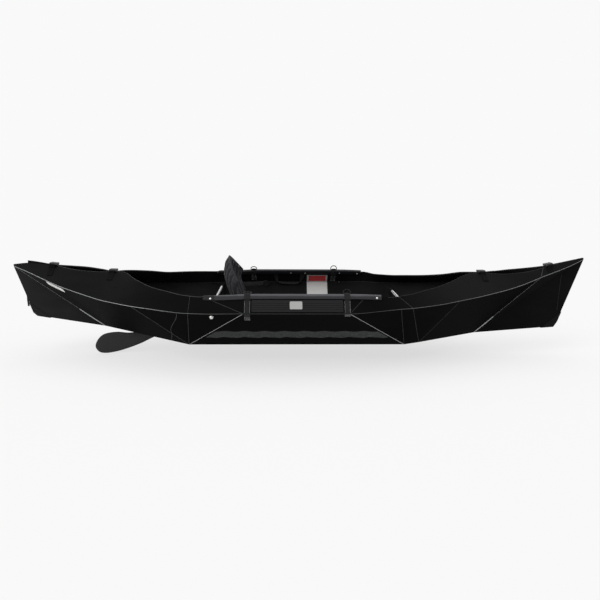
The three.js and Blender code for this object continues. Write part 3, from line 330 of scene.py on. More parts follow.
class Finish:
    """A material: a Principled shader and the nodes that feed it, all made by one method."""

    def __init__(self, name, **fixed):
        self.material = bpy.data.materials.new(name)
        self.material.use_nodes = True
        self.tree = self.material.node_tree
        self.tree.nodes.clear()
        self.shader = self.node("ShaderNodeBsdfPrincipled", {}, fixed)
        self.output = self.node("ShaderNodeOutputMaterial", {}, {"Surface": self.shader.outputs[0]})

    @classmethod
    def on_tree(cls, tree):
        """The same node methods on a tree that isn't a material's."""
        made = cls.__new__(cls)
        made.tree = tree
        tree.nodes.clear()
        return made

    def node(self, kind, settings=None, sockets=None):
        """A node of that kind. Settings come first, then each socket's value or link."""
        made = self.tree.nodes.new(kind)
        for key, value in (settings or {}).items():
            if key == "stops":
                self.ramp(made.color_ramp, value)
            else:
                setattr(made, key, value)
        self.feed(made, sockets or {})
        return made

    def feed(self, node, sockets):
        for key, value in sockets.items():
            link = value.socket if isinstance(value, Level) else value
            if isinstance(link, bpy.types.NodeSocket):
                self.tree.links.new(link, node.inputs[key])
            elif isinstance(value, tuple) and len(value) == 3 and node.inputs[key].type == "RGBA":
                node.inputs[key].default_value = (*value, 1.0)
            else:
                node.inputs[key].default_value = value

    @staticmethod
    def ramp(ramp, stops):
        for place, value in stops[2:]:
            ramp.elements.new(place)
        for element, (place, value) in zip(ramp.elements, stops):
            element.position, element.color = place, (value, value, value, 1.0)

    def level(self, node, output=0):
        return Level(self, node.outputs[output])

    def place(self, source="Object"):
        """The coordinates of a point and its three numbers."""
        vector = self.node("ShaderNodeTexCoord").outputs[source]
        parts = self.node("ShaderNodeSeparateXYZ", {}, {0: vector})
        return vector, [self.level(parts, i) for i in range(3)]

    def noise(self, vector, scale, detail=3.0, roughness=0.55):
        return self.level(self.node("ShaderNodeTexNoise", {}, {
            "Vector": vector, "Scale": scale, "Detail": detail, "Roughness": roughness}))

    def stretched(self, vector, scale):
        """The coordinates scaled by a number each way."""
        made = self.node("ShaderNodeVectorMath", {"operation": "MULTIPLY"}, {0: vector})
        made.inputs[1].default_value = scale
        return made.outputs[0]

    def attribute(self, name):
        return self.level(self.node("ShaderNodeAttribute", {"attribute_name": name}), 2)

    def mix(self, share, low, high):
        return self.node("ShaderNodeMix", {"data_type": "RGBA"}, {0: share, 6: low, 7: high}).outputs[2]

    def dress(self, colour, roughness, height=None, strength=0.0, distance=0.0):
        """Feeds the shader its colour and roughness, and its normal from a height if there is one."""
        self.feed(self.shader, {"Base Color": colour, "Roughness": roughness})
        if height is not None:
            made = self.node("ShaderNodeBump", {}, {"Height": height, "Strength": strength, "Distance": distance})
            self.feed(self.shader, {"Normal": made.outputs[0]})


def seen_directly(finish):
    """1 for what the camera sees straight, in a mirror or through glass, and 0 for light that falls on things."""
    path = finish.node("ShaderNodeLightPath")
    camera, glossy, through = (finish.level(path, f"Is {word} Ray") for word in ("Camera", "Glossy", "Transmission"))
    return camera.maths("MAXIMUM", glossy).maths("MAXIMUM", through)


def lighter(colour, factor):
    return tuple(min(c * factor, 1.0) for c in colour)


def shades(finish, share, colour, low, high):
    """Darker to lighter shades of one colour."""
    return finish.mix(share, lighter(colour, low), lighter(colour, high))


def dress_hull(finish, hull, painted_light_grey, stripe, stern, aft, length, bow, lift, striped=False):
    """Ribbed plastic sheet with scuffs, greyer towards its ends as painted light; the sides carry a speckled, waved
    band.
    """
    vector, (x, _, z) = finish.place()
    broad = finish.noise(finish.stretched(vector, (1.0, 3.0, 3.0)), 5.0, 4.0)
    scratches = finish.noise(finish.stretched(vector, (12.0, 160.0, 160.0)), 3.0, 5.0, 0.7).above(0.66, 0.1)
    # Painted light: towards the grey at the stern, at the bow and all over by the lift, in broad patches
    painted_light = ((x * -1.0).above(aft, length) * stern + x.above(0.75, 0.6) * bow + lift) * (broad + 0.5)
    tone = finish.mix(painted_light, shades(finish, broad, hull, 0.7, 1.3), painted_light_grey)
    tone = finish.mix(scratches * 0.08, tone, lighter(hull, 9.0))
    if striped:
        low = (z - BAND_LOW - x.wave(0.094) * 0.0022 - x.wave(0.047) * 0.001).above(0.0, 0.0012)
        high = 1 - (z - BAND_HIGH - (x + 0.02).wave(0.088) * 0.0022).above(0.0, 0.0012)
        inside = (x - z * BAND_AFT[1]).above(BAND_AFT[0], 0.004)
        inside *= 1 - (x + z * BAND_FORE[1]).above(BAND_FORE[0], 0.004)
        speckle = finish.noise(vector, 420.0, 2.0, 0.6).above(0.56, 0.10)
        patches = finish.noise(vector, 55.0)
        tone = finish.mix(low * high * inside, tone, shades(finish, speckle * (patches + 0.3), stripe, 0.72, 2.1))
    flutes = z.wave(0.0052) * 0.5 + finish.noise(vector, 700.0, 2.0) * 0.8
    finish.dress(tone, broad * 0.16 + 0.44 + scratches * 0.15, flutes, 0.22, 0.0004)


def dress_crease(finish, hull, crease):
    """Folded plastic: the more the wear, the whiter, in a broken line; the whiteness is partly wear and partly a
    painted highlight.
    """
    grain = finish.noise(finish.place()[0], 130.0, 4.0, 0.7)
    wear = (finish.attribute("wear") * (grain * 1.5 + 0.2)).maths("MINIMUM", 1.0)
    finish.dress(finish.mix(wear, hull, crease), 0.62 - wear * 0.1, grain, 0.25, 0.0003)


def dress_edge(finish, hull):
    """The sheet's cut edge: the two skins and the webs between them, paler than the face."""
    vector, (x, y, _) = finish.place()
    webs = (x + y).wave(0.0042).above(0.35, 0.5)
    grain = finish.noise(vector, 260.0)
    tone = shades(finish, webs * 0.6 + grain * 0.4, hull, 1.6, 7.0)
    finish.dress(tone, grain * 0.2 + 0.55, webs + grain * 0.3, 0.4, 0.0008)


def dress_rail(finish, rail, rail_lit_and_rubbed):
    """Drawn rail: fine lines along it, dark below and inside, a painted highlight on its outer upper part, and rubbed
    spots.
    """
    vector, (_, y, z) = finish.place()
    form = form_now()
    out, over = y.maths("ABSOLUTE") + form.mid_rim[1], z - form.mid_rim[2]
    rise, stand = over * form.up[2] - out * form.up[1], out * form.up[2] + over * form.up[1]
    lines = finish.noise(finish.stretched(vector, (1.2, 420.0, 420.0)), 2.0, 4.0, 0.6)
    broad = finish.noise(vector, 14.0)
    # Painted highlight: the outer upper part, where light falls from above, is lighter
    upper = (rise + (broad - 0.5) * 0.004).above(RAIL_ABOVE - 0.0115, 0.004) * stand.above(-0.003, 0.004)
    marks = finish.noise(finish.stretched(vector, (30.0, 90.0, 90.0)), 3.0, 5.0, 0.7).above(0.68, 0.06)
    low = shades(finish, lines, rail, 0.7, 1.3)
    high = shades(finish, lines * 0.6 + broad * 0.4, rail_lit_and_rubbed, 0.7, 1.3)
    tone = finish.mix(marks * 0.25, finish.mix(upper, low, high), lighter(rail_lit_and_rubbed, 2.0))
    finish.dress(tone, lines * 0.14 + 0.36 + marks * 0.15, lines, 0.12, 0.0003)


def dress_moulded(finish, colour, rough, grain_scale, depth, wear):
    """Moulded plastic: a fine spark-eroded grain, faint flow marks, and rubbed spots."""
    vector, _ = finish.place()
    grain = finish.noise(vector, grain_scale, 2.0)
    flow = finish.noise(vector, 22.0)
    rubbed = finish.noise(vector, 95.0, 5.0, 0.7).above(0.68, 0.08)
    tone = finish.mix(rubbed * wear, shades(finish, flow, colour, 0.78, 1.25), lighter(colour, 2.6))
    finish.dress(tone, flow * 0.14 + rough + rubbed * 0.12, grain + rubbed * 0.3, depth, 0.0003)


def dress_ribbed(finish, colour):
    """The stiffener's board: fine ribs along it between the moulded grooves."""
    vector, (_, _, z) = finish.place()
    ribs = z.wave(0.0031)
    grain = finish.noise(finish.stretched(vector, (3.0, 60.0, 60.0)), 6.0, 4.0)
    tone = shades(finish, grain * 0.7 + ribs * 0.06 + 0.1, colour, 0.7, 1.45)
    finish.dress(tone, grain * 0.2 + 0.45, ribs * 0.5 + grain, 0.3, 0.0004)


def dress_woven(finish, colour):
    """Nylon webbing on its own length and breadth: ribs of weave in a herringbone, with a lighter fuzz."""
    vector, (u, v, _) = finish.place("UV")
    ribs = (u + v.maths("ABSOLUTE") * 0.6).wave(0.0021)
    weave = ribs * v.wave(0.0017)
    fuzz = finish.noise(vector, 900.0, 3.0, 0.7)
    tone = shades(finish, weave * 0.3 + fuzz * 0.5 + 0.2, colour, 0.6, 1.7)
    finish.dress(tone, fuzz * 0.15 + 0.76, weave * 0.6 + fuzz * 0.4, 0.6, 0.0007)


def dress_thread(finish, colour):
    """Twisted sewing thread."""
    twist = finish.noise(finish.place()[0], 1500.0, 2.0)
    finish.dress(shades(finish, twist, colour, 0.7, 1.3), twist * 0.2 + 0.6)


def dress_fabric(finish, colour):
    """Pack cloth on the cushions: a plain weave on Object coordinates, slubs, and broad patches of tone."""
    vector, (x, y, z) = finish.place()
    weave = (y.wave(0.0016) * (x * 0.5 + z).wave(0.0016)).maths("ABSOLUTE")
    slub = finish.noise(finish.stretched(vector, (1.0, 9.0, 1.0)), 120.0)
    broad = finish.noise(vector, 12.0, 4.0)
    tone = shades(finish, weave * 0.35 + slub * 0.4 + broad * 0.25, colour, 0.62, 1.5)
    finish.dress(tone, slub * 0.12 + 0.8, weave * 0.7 + slub * 0.6, 0.5, 0.0006)


def dress_metal(finish, colour):
    """Brushed steel with fine marks."""
    marks = finish.noise(finish.stretched(finish.place()[0], (30.0, 260.0, 260.0)), 4.0, 4.0, 0.6)
    finish.dress(shades(finish, marks, colour, 0.7, 1.0), marks * 0.2 + 0.24, marks, 0.1, 0.0002)


def dress_painted(finish, colour):
    """A printed plain plate, faintly mottled."""
    vector, _ = finish.place()
    mottle = finish.noise(vector, 60.0, 4.0)
    tone = shades(finish, mottle, colour, 0.9, 1.0)
    finish.dress(tone, mottle * 0.15 + 0.38, finish.noise(vector, 600.0, 2.0), 0.1, 0.0002)


def sheen(weight, specular, roughness=0.5):
    """The fixed sockets of a cloth-like finish."""
    return {"Specular IOR Level": specular, "Sheen Weight": weight, "Sheen Roughness": roughness}


# Each finish: how it is dressed, its gloss or fixed sockets, its colours, and its other numbers
FINISHES = {
    **{part: (dress_hull, numbers[-1], ("hull", "painted_light_grey", "stripe"), (*numbers[:-1], part == "sides"))
       for part, numbers in PAINTED_LIGHT_SHARES.items()},
    "crease": (dress_crease, 0.2, ("hull", "crease"), ()),
    "edge": (dress_edge, 0.2, ("hull",), ()),
    "rail": (dress_rail, 0.2, ("rail", "rail_lit_and_rubbed"), ()),
    "stiffener": (dress_ribbed, 0.15, ("stiffener",), ()),
    "fabric": (dress_fabric, sheen(0.12, 0.15, 0.45), ("pad",), ()),
    "webbing": (dress_woven, sheen(0.08, 0.16), ("webbing",), ()),
    "deck_webbing": (dress_woven, sheen(0.01, 0.02), ("deck_webbing",), ()),
    "thread": (dress_thread, sheen(0.04, 0.1), ("thread",), ()),
    "dark_thread": (dress_thread, sheen(0.04, 0.1), ("dark_thread",), ()),
    **{name: (dress_metal, {"Metallic": 1.0}, (name,), ()) for name in ("steel", "rivet")},
    **{name: (dress_painted, 0.4, (name,), ()) for name in ("plate", "label", "board_plate", "band")},
    # Moulded plastics' numbers: roughness, scale and depth of the grain, and wear
    "cap": (dress_moulded, 0.15, ("cap",), (0.42, 900.0, 0.25, 0.35)),
    "corner": (dress_moulded, 0.05, ("corner",), (0.5, 900.0, 0.25, 0.35)),
    "buckle": (dress_moulded, 0.4, ("buckle",), (0.34, 1300.0, 0.15, 0.35)),
    "bar": (dress_moulded, 0.4, ("bar",), (0.4, 900.0, 0.2, 0.1)),
    "board": (dress_moulded, 0.2, ("board",), (0.5, 500.0, 0.3, 0.15)),
    "fin": (dress_moulded, 0.3, ("fin",), (0.46, 700.0, 0.35, 0.12)),
}


def finish_of(name):
    """The material of that name, made when it is first asked for."""
    found = bpy.data.materials.get(f"kayak {name}")
    if found:
        return found
    dress, fixed, shown, numbers = FINISHES[name]
    finish = Finish(f"kayak {name}", **(fixed if isinstance(fixed, dict) else {"Specular IOR Level": fixed}))
    colours = bpy.context.scene.kayak_colours
    dress(finish, *(tuple(getattr(colours, colour)) for colour in shown), *numbers)
    return finish.material


# Surfaces

def unit(vectors):
    """The vectors divided by their lengths."""
    return vectors / np.maximum(np.linalg.norm(vectors, axis=-1, keepdims=True), 1e-12)


def powered(value, power):
    """The value's size raised to a power, with its sign kept."""
    return np.sign(value) * np.abs(value) ** power


def grid_faces(down, across, wrap_down=False, wrap_across=False, start=0):
    """Quads between the points of a grid: (i, j), (i, j + 1), (i + 1, j + 1), (i + 1, j)."""
    i = np.arange(down if wrap_down else down - 1)[:, None]
    j = np.arange(across if wrap_across else across - 1)[None, :]
    corners = [(i, j), (i, j + 1), (i + 1, j + 1), (i + 1, j)]
    return np.stack([start + (a % down) * across + (b % across) + 0 * i + 0 * j for a, b in corners], -1).reshape(-1, 4)


def border(grid):
    """What lies round a grid's edge, in order."""
    return np.concatenate([grid[0], grid[1:, -1], grid[-1, -2::-1], grid[-2:0:-1, 0]])


def run_along(path):
    """How far along the path each of its points lies."""
    return np.concatenate([[0.0], np.cumsum(np.linalg.norm(np.diff(path, axis=0), axis=-1))])


def slab(outer, inner):
    """A closed sheet from two grids: outer faces, inner faces, and the walls between their borders."""
    down, across = outer.shape[:2]
    points = np.concatenate([outer.reshape(-1, 3), inner.reshape(-1, 3)])
    front = grid_faces(down, across)
    back = grid_faces(down, across, start=down * across)[:, ::-1]
    index = np.arange(down * across).reshape(down, across)
    loop = border(index)
    following = np.roll(loop, -1)
    walls = np.stack([following, loop, loop + down * across, following + down * across], -1)
    kinds = np.repeat([0, 1, 2], [len(front), len(back), len(walls)])
    return points, np.concatenate([front, back, walls]), kinds


def sweep(path, across, half_wide, half_thick, squareness, sides, closed=False):
    """A section carried along a path: P(s, a) = C(s) + w(s) cos(a)^e A(s) + h(s) sin(a)^e N(s).

    A is the direction across, N is square to it and to the path, and e is 1 for a round section or less for
    a squarer one. Returns points, faces, and for each point its run along the path and its place across.
    """
    path = np.asarray(path, float)
    if closed:
        ahead, behind = np.roll(path, -1, 0), np.roll(path, 1, 0)
    else:
        ahead, behind = np.concatenate([path[1:], path[-1:]]), np.concatenate([path[:1], path[:-1]])
    tangent = unit(ahead - behind)
    across = np.broadcast_to(np.asarray(across, float), path.shape)
    across = unit(across - (across * tangent).sum(-1, keepdims=True) * tangent)
    normal = np.cross(tangent, across)
    wide = np.broadcast_to(np.asarray(half_wide, float), (len(path),))
    thick = np.broadcast_to(np.asarray(half_thick, float), (len(path),))
    run = run_along(path)
    if not closed:
        path, across, normal, run = (
            np.concatenate([part[:1], part, part[-1:]]) for part in (path, across, normal, run))
        wide, thick = (np.concatenate([[0.0], part, [0.0]]) for part in (wide, thick))
    angle = np.arange(sides) * 2 * pi / sides
    side = powered(np.cos(angle), squareness)
    rise = powered(np.sin(angle), squareness)
    points = (path[:, None] + (wide[:, None] * side)[..., None] * across[:, None]
              + (thick[:, None] * rise)[..., None] * normal[:, None])
    faces = grid_faces(len(path), sides, wrap_down=closed, wrap_across=True)
    place = np.stack([np.repeat(run, sides), (wide[:, None] * side).ravel()], -1)
    return points.reshape(-1, 3), faces, place


def turned(profile, centre, axis, sides=24):
    """A profile of (radius, height) turned round an axis: P(s, a) = C + h(s) Z + r(s) (cos(a) X + sin(a) Y)."""
    axis = unit(np.asarray(axis, float))
    first = unit(np.cross(axis, (0.31, 0.77, 0.55)))
    second = np.cross(axis, first)
    angle = np.arange(sides) * 2 * pi / sides
    radius, height = np.asarray(profile, float).T
    ring = np.cos(angle)[:, None] * first + np.sin(angle)[:, None] * second
    points = np.asarray(centre) + height[:, None, None] * axis + radius[:, None, None] * ring
    return points.reshape(-1, 3), grid_faces(len(radius), sides, wrap_across=True)


def softened_block(centre, half, axes=None, squareness=0.3, rows=14, sides=24):
    """A box with rounded faces: x = a cos(p)^e cos(q)^e, y = b cos(p)^e sin(q)^e, z = c sin(p)^e."""
    rise = np.linspace(-pi / 2, pi / 2, rows)[:, None]
    turn = (np.arange(sides) * 2 * pi / sides)[None, :]
    flat = powered(np.cos(rise), squareness)
    local = np.stack([
        half[0] * flat * powered(np.cos(turn), squareness),
        half[1] * flat * powered(np.sin(turn), squareness),
        half[2] * powered(np.sin(rise), squareness) + 0 * turn], -1)
    axes = np.eye(3) if axes is None else np.asarray(axes)
    return (np.asarray(centre) + local @ axes).reshape(-1, 3), grid_faces(rows, sides, wrap_across=True)


def joined(*parts):
    """Several (points, faces) as one."""
    counts = np.cumsum([0] + [len(part[0]) for part in parts[:-1]])
    return np.concatenate([p[0] for p in parts]), np.concatenate([p[1] + n for p, n in zip(parts, counts)])


def scattered(base, centres, first, second, third):
    """Copies of one small form, each at a centre with its own three directions."""
    points, faces = base
    axes = np.stack([first, second, third], 1)
    placed = centres[:, None] + np.einsum("pk,nkc->npc", points, axes)
    shift = np.arange(len(centres))[:, None, None] * len(points)
    return placed.reshape(-1, 3), (faces[None] + shift).reshape(-1, faces.shape[1])


def eased(path, radius, steps=6, closed=False):
    """Each corner as the parabola that touches its two sides at a distance r: (1-t)^2 A + 2t(1-t) P + t^2 B."""
    path = np.asarray(path, float)
    before, after = np.roll(path, 1, 0), np.roll(path, -1, 0)
    room = 0.48 * np.minimum(np.linalg.norm(before - path, axis=-1), np.linalg.norm(after - path, axis=-1))
    reach = np.minimum(radius, room)[:, None]
    first, last = path + unit(before - path) * reach, path + unit(after - path) * reach
    t = np.linspace(0, 1, steps)[None, :, None]
    arcs = (1 - t) ** 2 * first[:, None] + 2 * t * (1 - t) * path[:, None] + t * t * last[:, None]
    if closed:
        return arcs.reshape(-1, path.shape[1])
    return np.concatenate([path[:1], arcs[1:-1].reshape(-1, path.shape[1]), path[-1:]])


def resampled(path, count):
    """The path at that many evenly spaced places along it."""
    path = np.asarray(path, float)
    run = run_along(path)
    place = np.linspace(0, run[-1], count)
    return np.stack([np.interp(place, run, column) for column in path.T], -1)


def smooth_values(stations, values, x):
    """A monotone cubic through a table: end slopes are the harmonic mean of the slopes beside a station."""
    step = np.diff(stations)
    slope = np.diff(values) / step
    same = slope[:-1] * slope[1:] > 0
    safe = np.where(same, slope[:-1] + slope[1:], 1.0)
    inner = np.where(same, 2 * slope[:-1] * slope[1:] / safe, 0.0)
    tangent = np.concatenate([slope[:1], inner, slope[-1:]])
    i = np.clip(np.searchsorted(stations, x, side="right") - 1, 0, len(step) - 1)
    t = (x - stations[i]) / step[i]
    return ((1 + 2 * t) * (1 - t) ** 2 * values[i] + t * (1 - t) ** 2 * step[i] * tangent[i]
            + t * t * (3 - 2 * t) * values[i + 1] + t * t * (t - 1) * step[i] * tangent[i + 1])


# Pieces as objects

def piece(name, points, faces, finishes, body="hull", slot=None, kinds=None, uv=None, wear=None, angle=35):
    """An object at the origin with its place in its mesh, merged, facing outwards and riding on a body."""
    mesh = bpy.data.meshes.new(name)
    mesh.from_pydata(np.asarray(points).tolist(), [], np.asarray(faces).tolist())
    for finish in finishes:
        mesh.materials.append(finish_of(finish))
    if kinds is not None:
        mesh.polygons.foreach_set("material_index", np.asarray(kinds, np.int32))
    if uv is not None:
        corners = np.zeros(len(mesh.loops), np.int32)
        mesh.loops.foreach_get("vertex_index", corners)
        mesh.uv_layers.new(name="run").data.foreach_set("uv", np.asarray(uv, np.float32)[corners].ravel())
    if wear is not None:
        mesh.attributes.new("wear", "FLOAT", "POINT").data.foreach_set("value", np.asarray(wear, np.float32))
    work = bmesh.new()
    work.from_mesh(mesh)
    bmesh.ops.remove_doubles(work, verts=work.verts, dist=2e-6)
    bmesh.ops.recalc_face_normals(work, faces=work.faces)
    work.to_mesh(mesh)
    work.free()
    made = shown(name, mesh, angle)
    if body:
        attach(made, body)
    return made


def eased_copy(node, name, finish, width):
    """A rigid solid with its edges eased: its triangles merged into flat faces, then a live bevel."""
    source = frame["nodes"][node]
    mesh = source.data.copy()
    mesh.name = name
    work = bmesh.new()
    work.from_mesh(mesh)
    bmesh.ops.remove_doubles(work, verts=work.verts, dist=1e-5)
    bmesh.ops.dissolve_limit(work, angle_limit=radians(1.5), verts=work.verts, edges=work.edges)
    work.to_mesh(mesh)
    work.free()
    mesh.materials.clear()
    mesh.materials.append(finish_of(finish))
    made = shown(name, mesh, 40)
    bevel = made.modifiers.new("eased edges", "BEVEL")
    bevel.width, bevel.segments, bevel.limit_method = width, 3, "ANGLE"
    bevel.angle_limit, bevel.harden_normals, bevel.use_clamp_overlap = radians(30), True, True
    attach(made, source["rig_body"])
    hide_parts(node)
    return made


def shown(name, mesh, angle):
    """An object of the mesh in the scene, shaded smooth up to that angle."""
    mesh.polygons.foreach_set("use_smooth", np.ones(len(mesh.polygons), bool))
    mesh.set_sharp_from_angle(angle=radians(angle))
    made = bpy.data.objects.new(name, mesh)
    bpy.context.scene.collection.objects.link(made)
    return made


def mirrored(points, sign):
    """The starboard points, or for -1 the same seen in a mirror for the port side."""
    return np.asarray(points) * (1.0, sign, 1.0)


def both_sides(name, made, finishes, **settings):
    """The same piece to starboard and, seen in a mirror, to port."""
    for word, sign in SIDES.items():
        piece(f"{word}_{name}", mirrored(made[0], sign), made[1], finishes, **settings)


class Form:
    """The hull's lines at the chosen sizes, in metres on the starboard side."""

    def __init__(self, sizes):
        self.sheet = sizes.sheet
        self.half = np.array([sizes.length / 2, sizes.beam / 2, sizes.depth])
        self.half_floor = sizes.floor_width / 2
        self.ply = sizes.sheet + GAP
        self.crease_top = BOW_CREASE_TOP * self.half[0]
        stations = self.stations = LINES[:, 0] * self.half[0]
        self.keel = {name: np.array([x * self.half[0], -self.ply, z * self.half[2]])
                     for name, (x, z) in KEEL.items()}
        self.floor = {name: np.array([x * self.half[0], -y * self.half_floor, 0.0])
                      for name, (x, y) in FLOOR.items()}
        knuckle, rim = self.knuckle(stations[MID_STERN]), self.rim(stations[MID_STERN])
        self.mid_knuckle, self.mid_rim = knuckle, rim
        self.up = unit(rim - knuckle)
        self.out = np.array([0.0, -self.up[2], self.up[1]])
        self.strake_height = np.linalg.norm(rim - knuckle)
        self.side_down = unit((self.floor["stern"] - knuckle) * (0, 1, 1))
        self.side_out = np.array([0.0, self.side_down[2], -self.side_down[1]])

    def line(self, x, breadth, height):
        x = np.asarray(x, float)
        return np.stack([x, -smooth_values(self.stations, LINES[:, breadth] * self.half[1], x),
                         smooth_values(self.stations, LINES[:, height] * self.half[2], x)], -1)

    def knuckle(self, x):
        return self.line(x, 1, 2)

    def rim(self, x):
        return self.line(x, 3, 4)

    def strake(self, x, t):
        """The strake as a ruled surface: K(x) + t (R(x) - K(x))."""
        low = self.knuckle(x)
        return low + np.asarray(t)[..., None] * (self.rim(x) - low)

    def inside(self, x):
        """The stations held within the ends by the step that slopes are taken over."""
        return np.clip(x, self.stations[0] + STEP, self.stations[-1] - STEP)

    def strake_normal(self, x, t):
        x = self.inside(x)
        along = self.strake(x + STEP, t) - self.strake(x - STEP, t)
        return unit(np.cross(along, self.rim(x) - self.knuckle(x)))

    def side_columns(self):
        """The side's rulings from stern to bow: stations of their tops, and their lower ends."""
        s = self.stations
        keel, floor = self.keel, self.floor
        plan = [
            (s[0], s[STERN_DIAGONAL], keel["stern_foot"], keel["stern_foot"], 44),
            (s[STERN_DIAGONAL], s[STERN_DIAGONAL], keel["stern_foot"], floor["stern"], 6),
            (s[STERN_DIAGONAL], s[MID_STERN], floor["stern"], floor["stern"], 30),
            (s[MID_STERN], s[MID_BOW], floor["stern"], floor["bow"], 24),
            (s[MID_BOW], s[BOW_KNEE], floor["bow"], floor["bow"], 20),
            (s[BOW_KNEE], s[BOW_KNEE], floor["bow"], floor["knee"], 2),
            (s[BOW_KNEE], s[BOW_DIAGONAL], floor["knee"], floor["knee"], 16),
            (s[BOW_DIAGONAL], s[BOW_DIAGONAL], floor["knee"], keel["bow_foot"], 6),
            (s[BOW_DIAGONAL], self.crease_top, keel["bow_foot"], keel["bow_foot"], 34),
        ]
        tops, feet = [], []
        for first, last, low, high, count in plan:
            share = np.arange(count) / count
            tops.append(first + share * (last - first))
            feet.append(low + share[:, None] * (high - low))
        tops.append([self.crease_top])
        feet.append(keel["bow_foot"][None])
        return np.concatenate(tops), np.concatenate(feet)

    def foot(self, x):
        """The lower end of the ruling whose top is at a station."""
        tops, feet = self.side_columns()
        order = np.searchsorted(tops, x, side="right").clip(1, len(tops)) - 1
        return feet[order]

    def side_normal(self, x, foot):
        x = self.inside(x)
        along = self.knuckle(x + STEP) - self.knuckle(x - STEP)
        return unit(np.cross(along, self.knuckle(x) - foot))

    def mitre(self, x, foot):
        """The step from the knuckle line to the inside corner: -t (n1 + n2) / (1 + n1 . n2)."""
        one, two = self.strake_normal(x, np.zeros_like(x)), self.side_normal(x, foot)
        return -self.sheet * (one + two) / (1 + (one * two).sum(-1, keepdims=True))

    def on_strake(self, rise, stand):
        """A place amidships by its distance up from the rim and out from the strake's face."""
        return self.mid_rim + self.up * np.asarray(rise)[..., None] + self.out * np.asarray(stand)[..., None]

    def on_side(self, drop, stand):
        """A place amidships by its distance down from the knuckle and out from the side's face."""
        return (self.mid_knuckle + self.side_down * np.asarray(drop)[..., None]
                + self.side_out * np.asarray(stand)[..., None])


def form_now():
    return Form(bpy.context.scene.kayak_sizes)


class KayakPiece:
    """What the operators share."""

    bl_options = {"REGISTER", "UNDO"}


class KAYAK_OT_hull(KayakPiece, bpy.types.Operator):
    """Folds the hull sheet: strakes, sides, end plates and floor"""

    bl_idname = "kayak.hull"
    bl_label = "Hull sheet"

    def execute(self, context):
        form = form_now()
        outside = {"strake": "strakes", "side": "sides", "stern_plate": "stern", "bow_plate": "sheet"}
        nodes = {"strake": ["strake_stern", "strake_mid", "strake_bow"],
                 "side": ["side_stern", "side_mid", "side_bow"],
                 "stern_plate": ["stern_plate"], "bow_plate": ["bow_plate"]}
        panels = {**self.skins(form), **self.end_plates(form)}
        for word, sign in SIDES.items():
            for panel, (outer, inner) in panels.items():
                points, faces, kinds = slab(outer, np.minimum(inner, (np.inf, -GAP / 2, np.inf)))
                made = piece(f"{word}_{panel}_sheet", mirrored(points, sign), faces,
                             [outside[panel], "inside", "edge"], slot="hull_sheet", kinds=kinds)
                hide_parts(*[f"{word}_{node}" for node in nodes[panel]])
        self.floor(form)
        return {"FINISHED"}

    def skins(self, form):
        """The strake's and the side's outer and inner faces, which meet on the mitre below the knuckle."""
        stations = np.unique(np.concatenate([
            form.stations, np.linspace(form.stations[0], form.stations[-1], 170)]))
        grid_x, grid_t = np.meshgrid(stations, np.linspace(0, 1, 7), indexing="ij")
        strake = form.strake(grid_x, grid_t)
        strake_in = strake - form.sheet * form.strake_normal(grid_x, grid_t)
        strake_in[:, 0] = strake[:, 0] + form.mitre(stations, form.foot(stations))
        tops, feet = form.side_columns()
        side = feet[:, None] + np.linspace(0, 1, 9)[None, :, None] * (form.knuckle(tops) - feet)[:, None]
        side_in = side - form.sheet * form.side_normal(tops, feet)[:, None]
        side_in[:, -1] = side[:, -1] + form.mitre(tops, feet)
        return {"strake": (strake, strake_in), "side": (side, side_in)}

    def end_plates(self, form):
        """The flat plates at stem and stern: fans from the keel's foot to the knuckle's end and the corner."""
        plates = {}
        for end, x in (("stern", form.stations[:1]), ("bow", np.linspace(form.crease_top, form.stations[-1], 14))):
            corner, foot = [form.keel[f"{end}_corner_top"], form.keel[f"{end}_corner"]], form.keel[f"{end}_foot"]
            path = np.concatenate([form.knuckle(x), corner])
            outer = foot + np.linspace(0, 1, 9)[None, :, None] * (path - foot)[:, None]
            normal = unit(np.cross(path[-1] - foot, path[0] - foot))
            normal *= np.sign(-normal[1])
            plates[f"{end}_plate"] = (outer, outer - form.sheet * normal)
        return plates

    def floor(self, form):
        """The floor: from keel foot to keel foot, as wide as its outline at each station."""
        keel, floor = form.keel, form.floor
        outline = np.array([keel["stern_foot"], floor["stern"], floor["bow"], floor["knee"], keel["bow_foot"]])
        outline = np.concatenate([outline[:-1, None] * (1 - s) + outline[1:, None] * s
                                  for s in (0.0, 0.25, 0.5, 0.75)], 1).reshape(-1, 3)
        outline = np.concatenate([outline, keel["bow_foot"][None]])
        outline += (0, GAP, 0)
        across = np.linspace(1, -1, 13)[None, :, None]
        outer = outline[:, None] * np.concatenate([np.ones_like(across), across, np.ones_like(across)], -1)
        points, faces, kinds = slab(outer, outer + (0, 0, form.sheet))
        made = piece("floor_sheet", points, faces, ["sheet", "inside", "edge"], slot="hull_sheet", kinds=kinds)
        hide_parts("floor_panel")


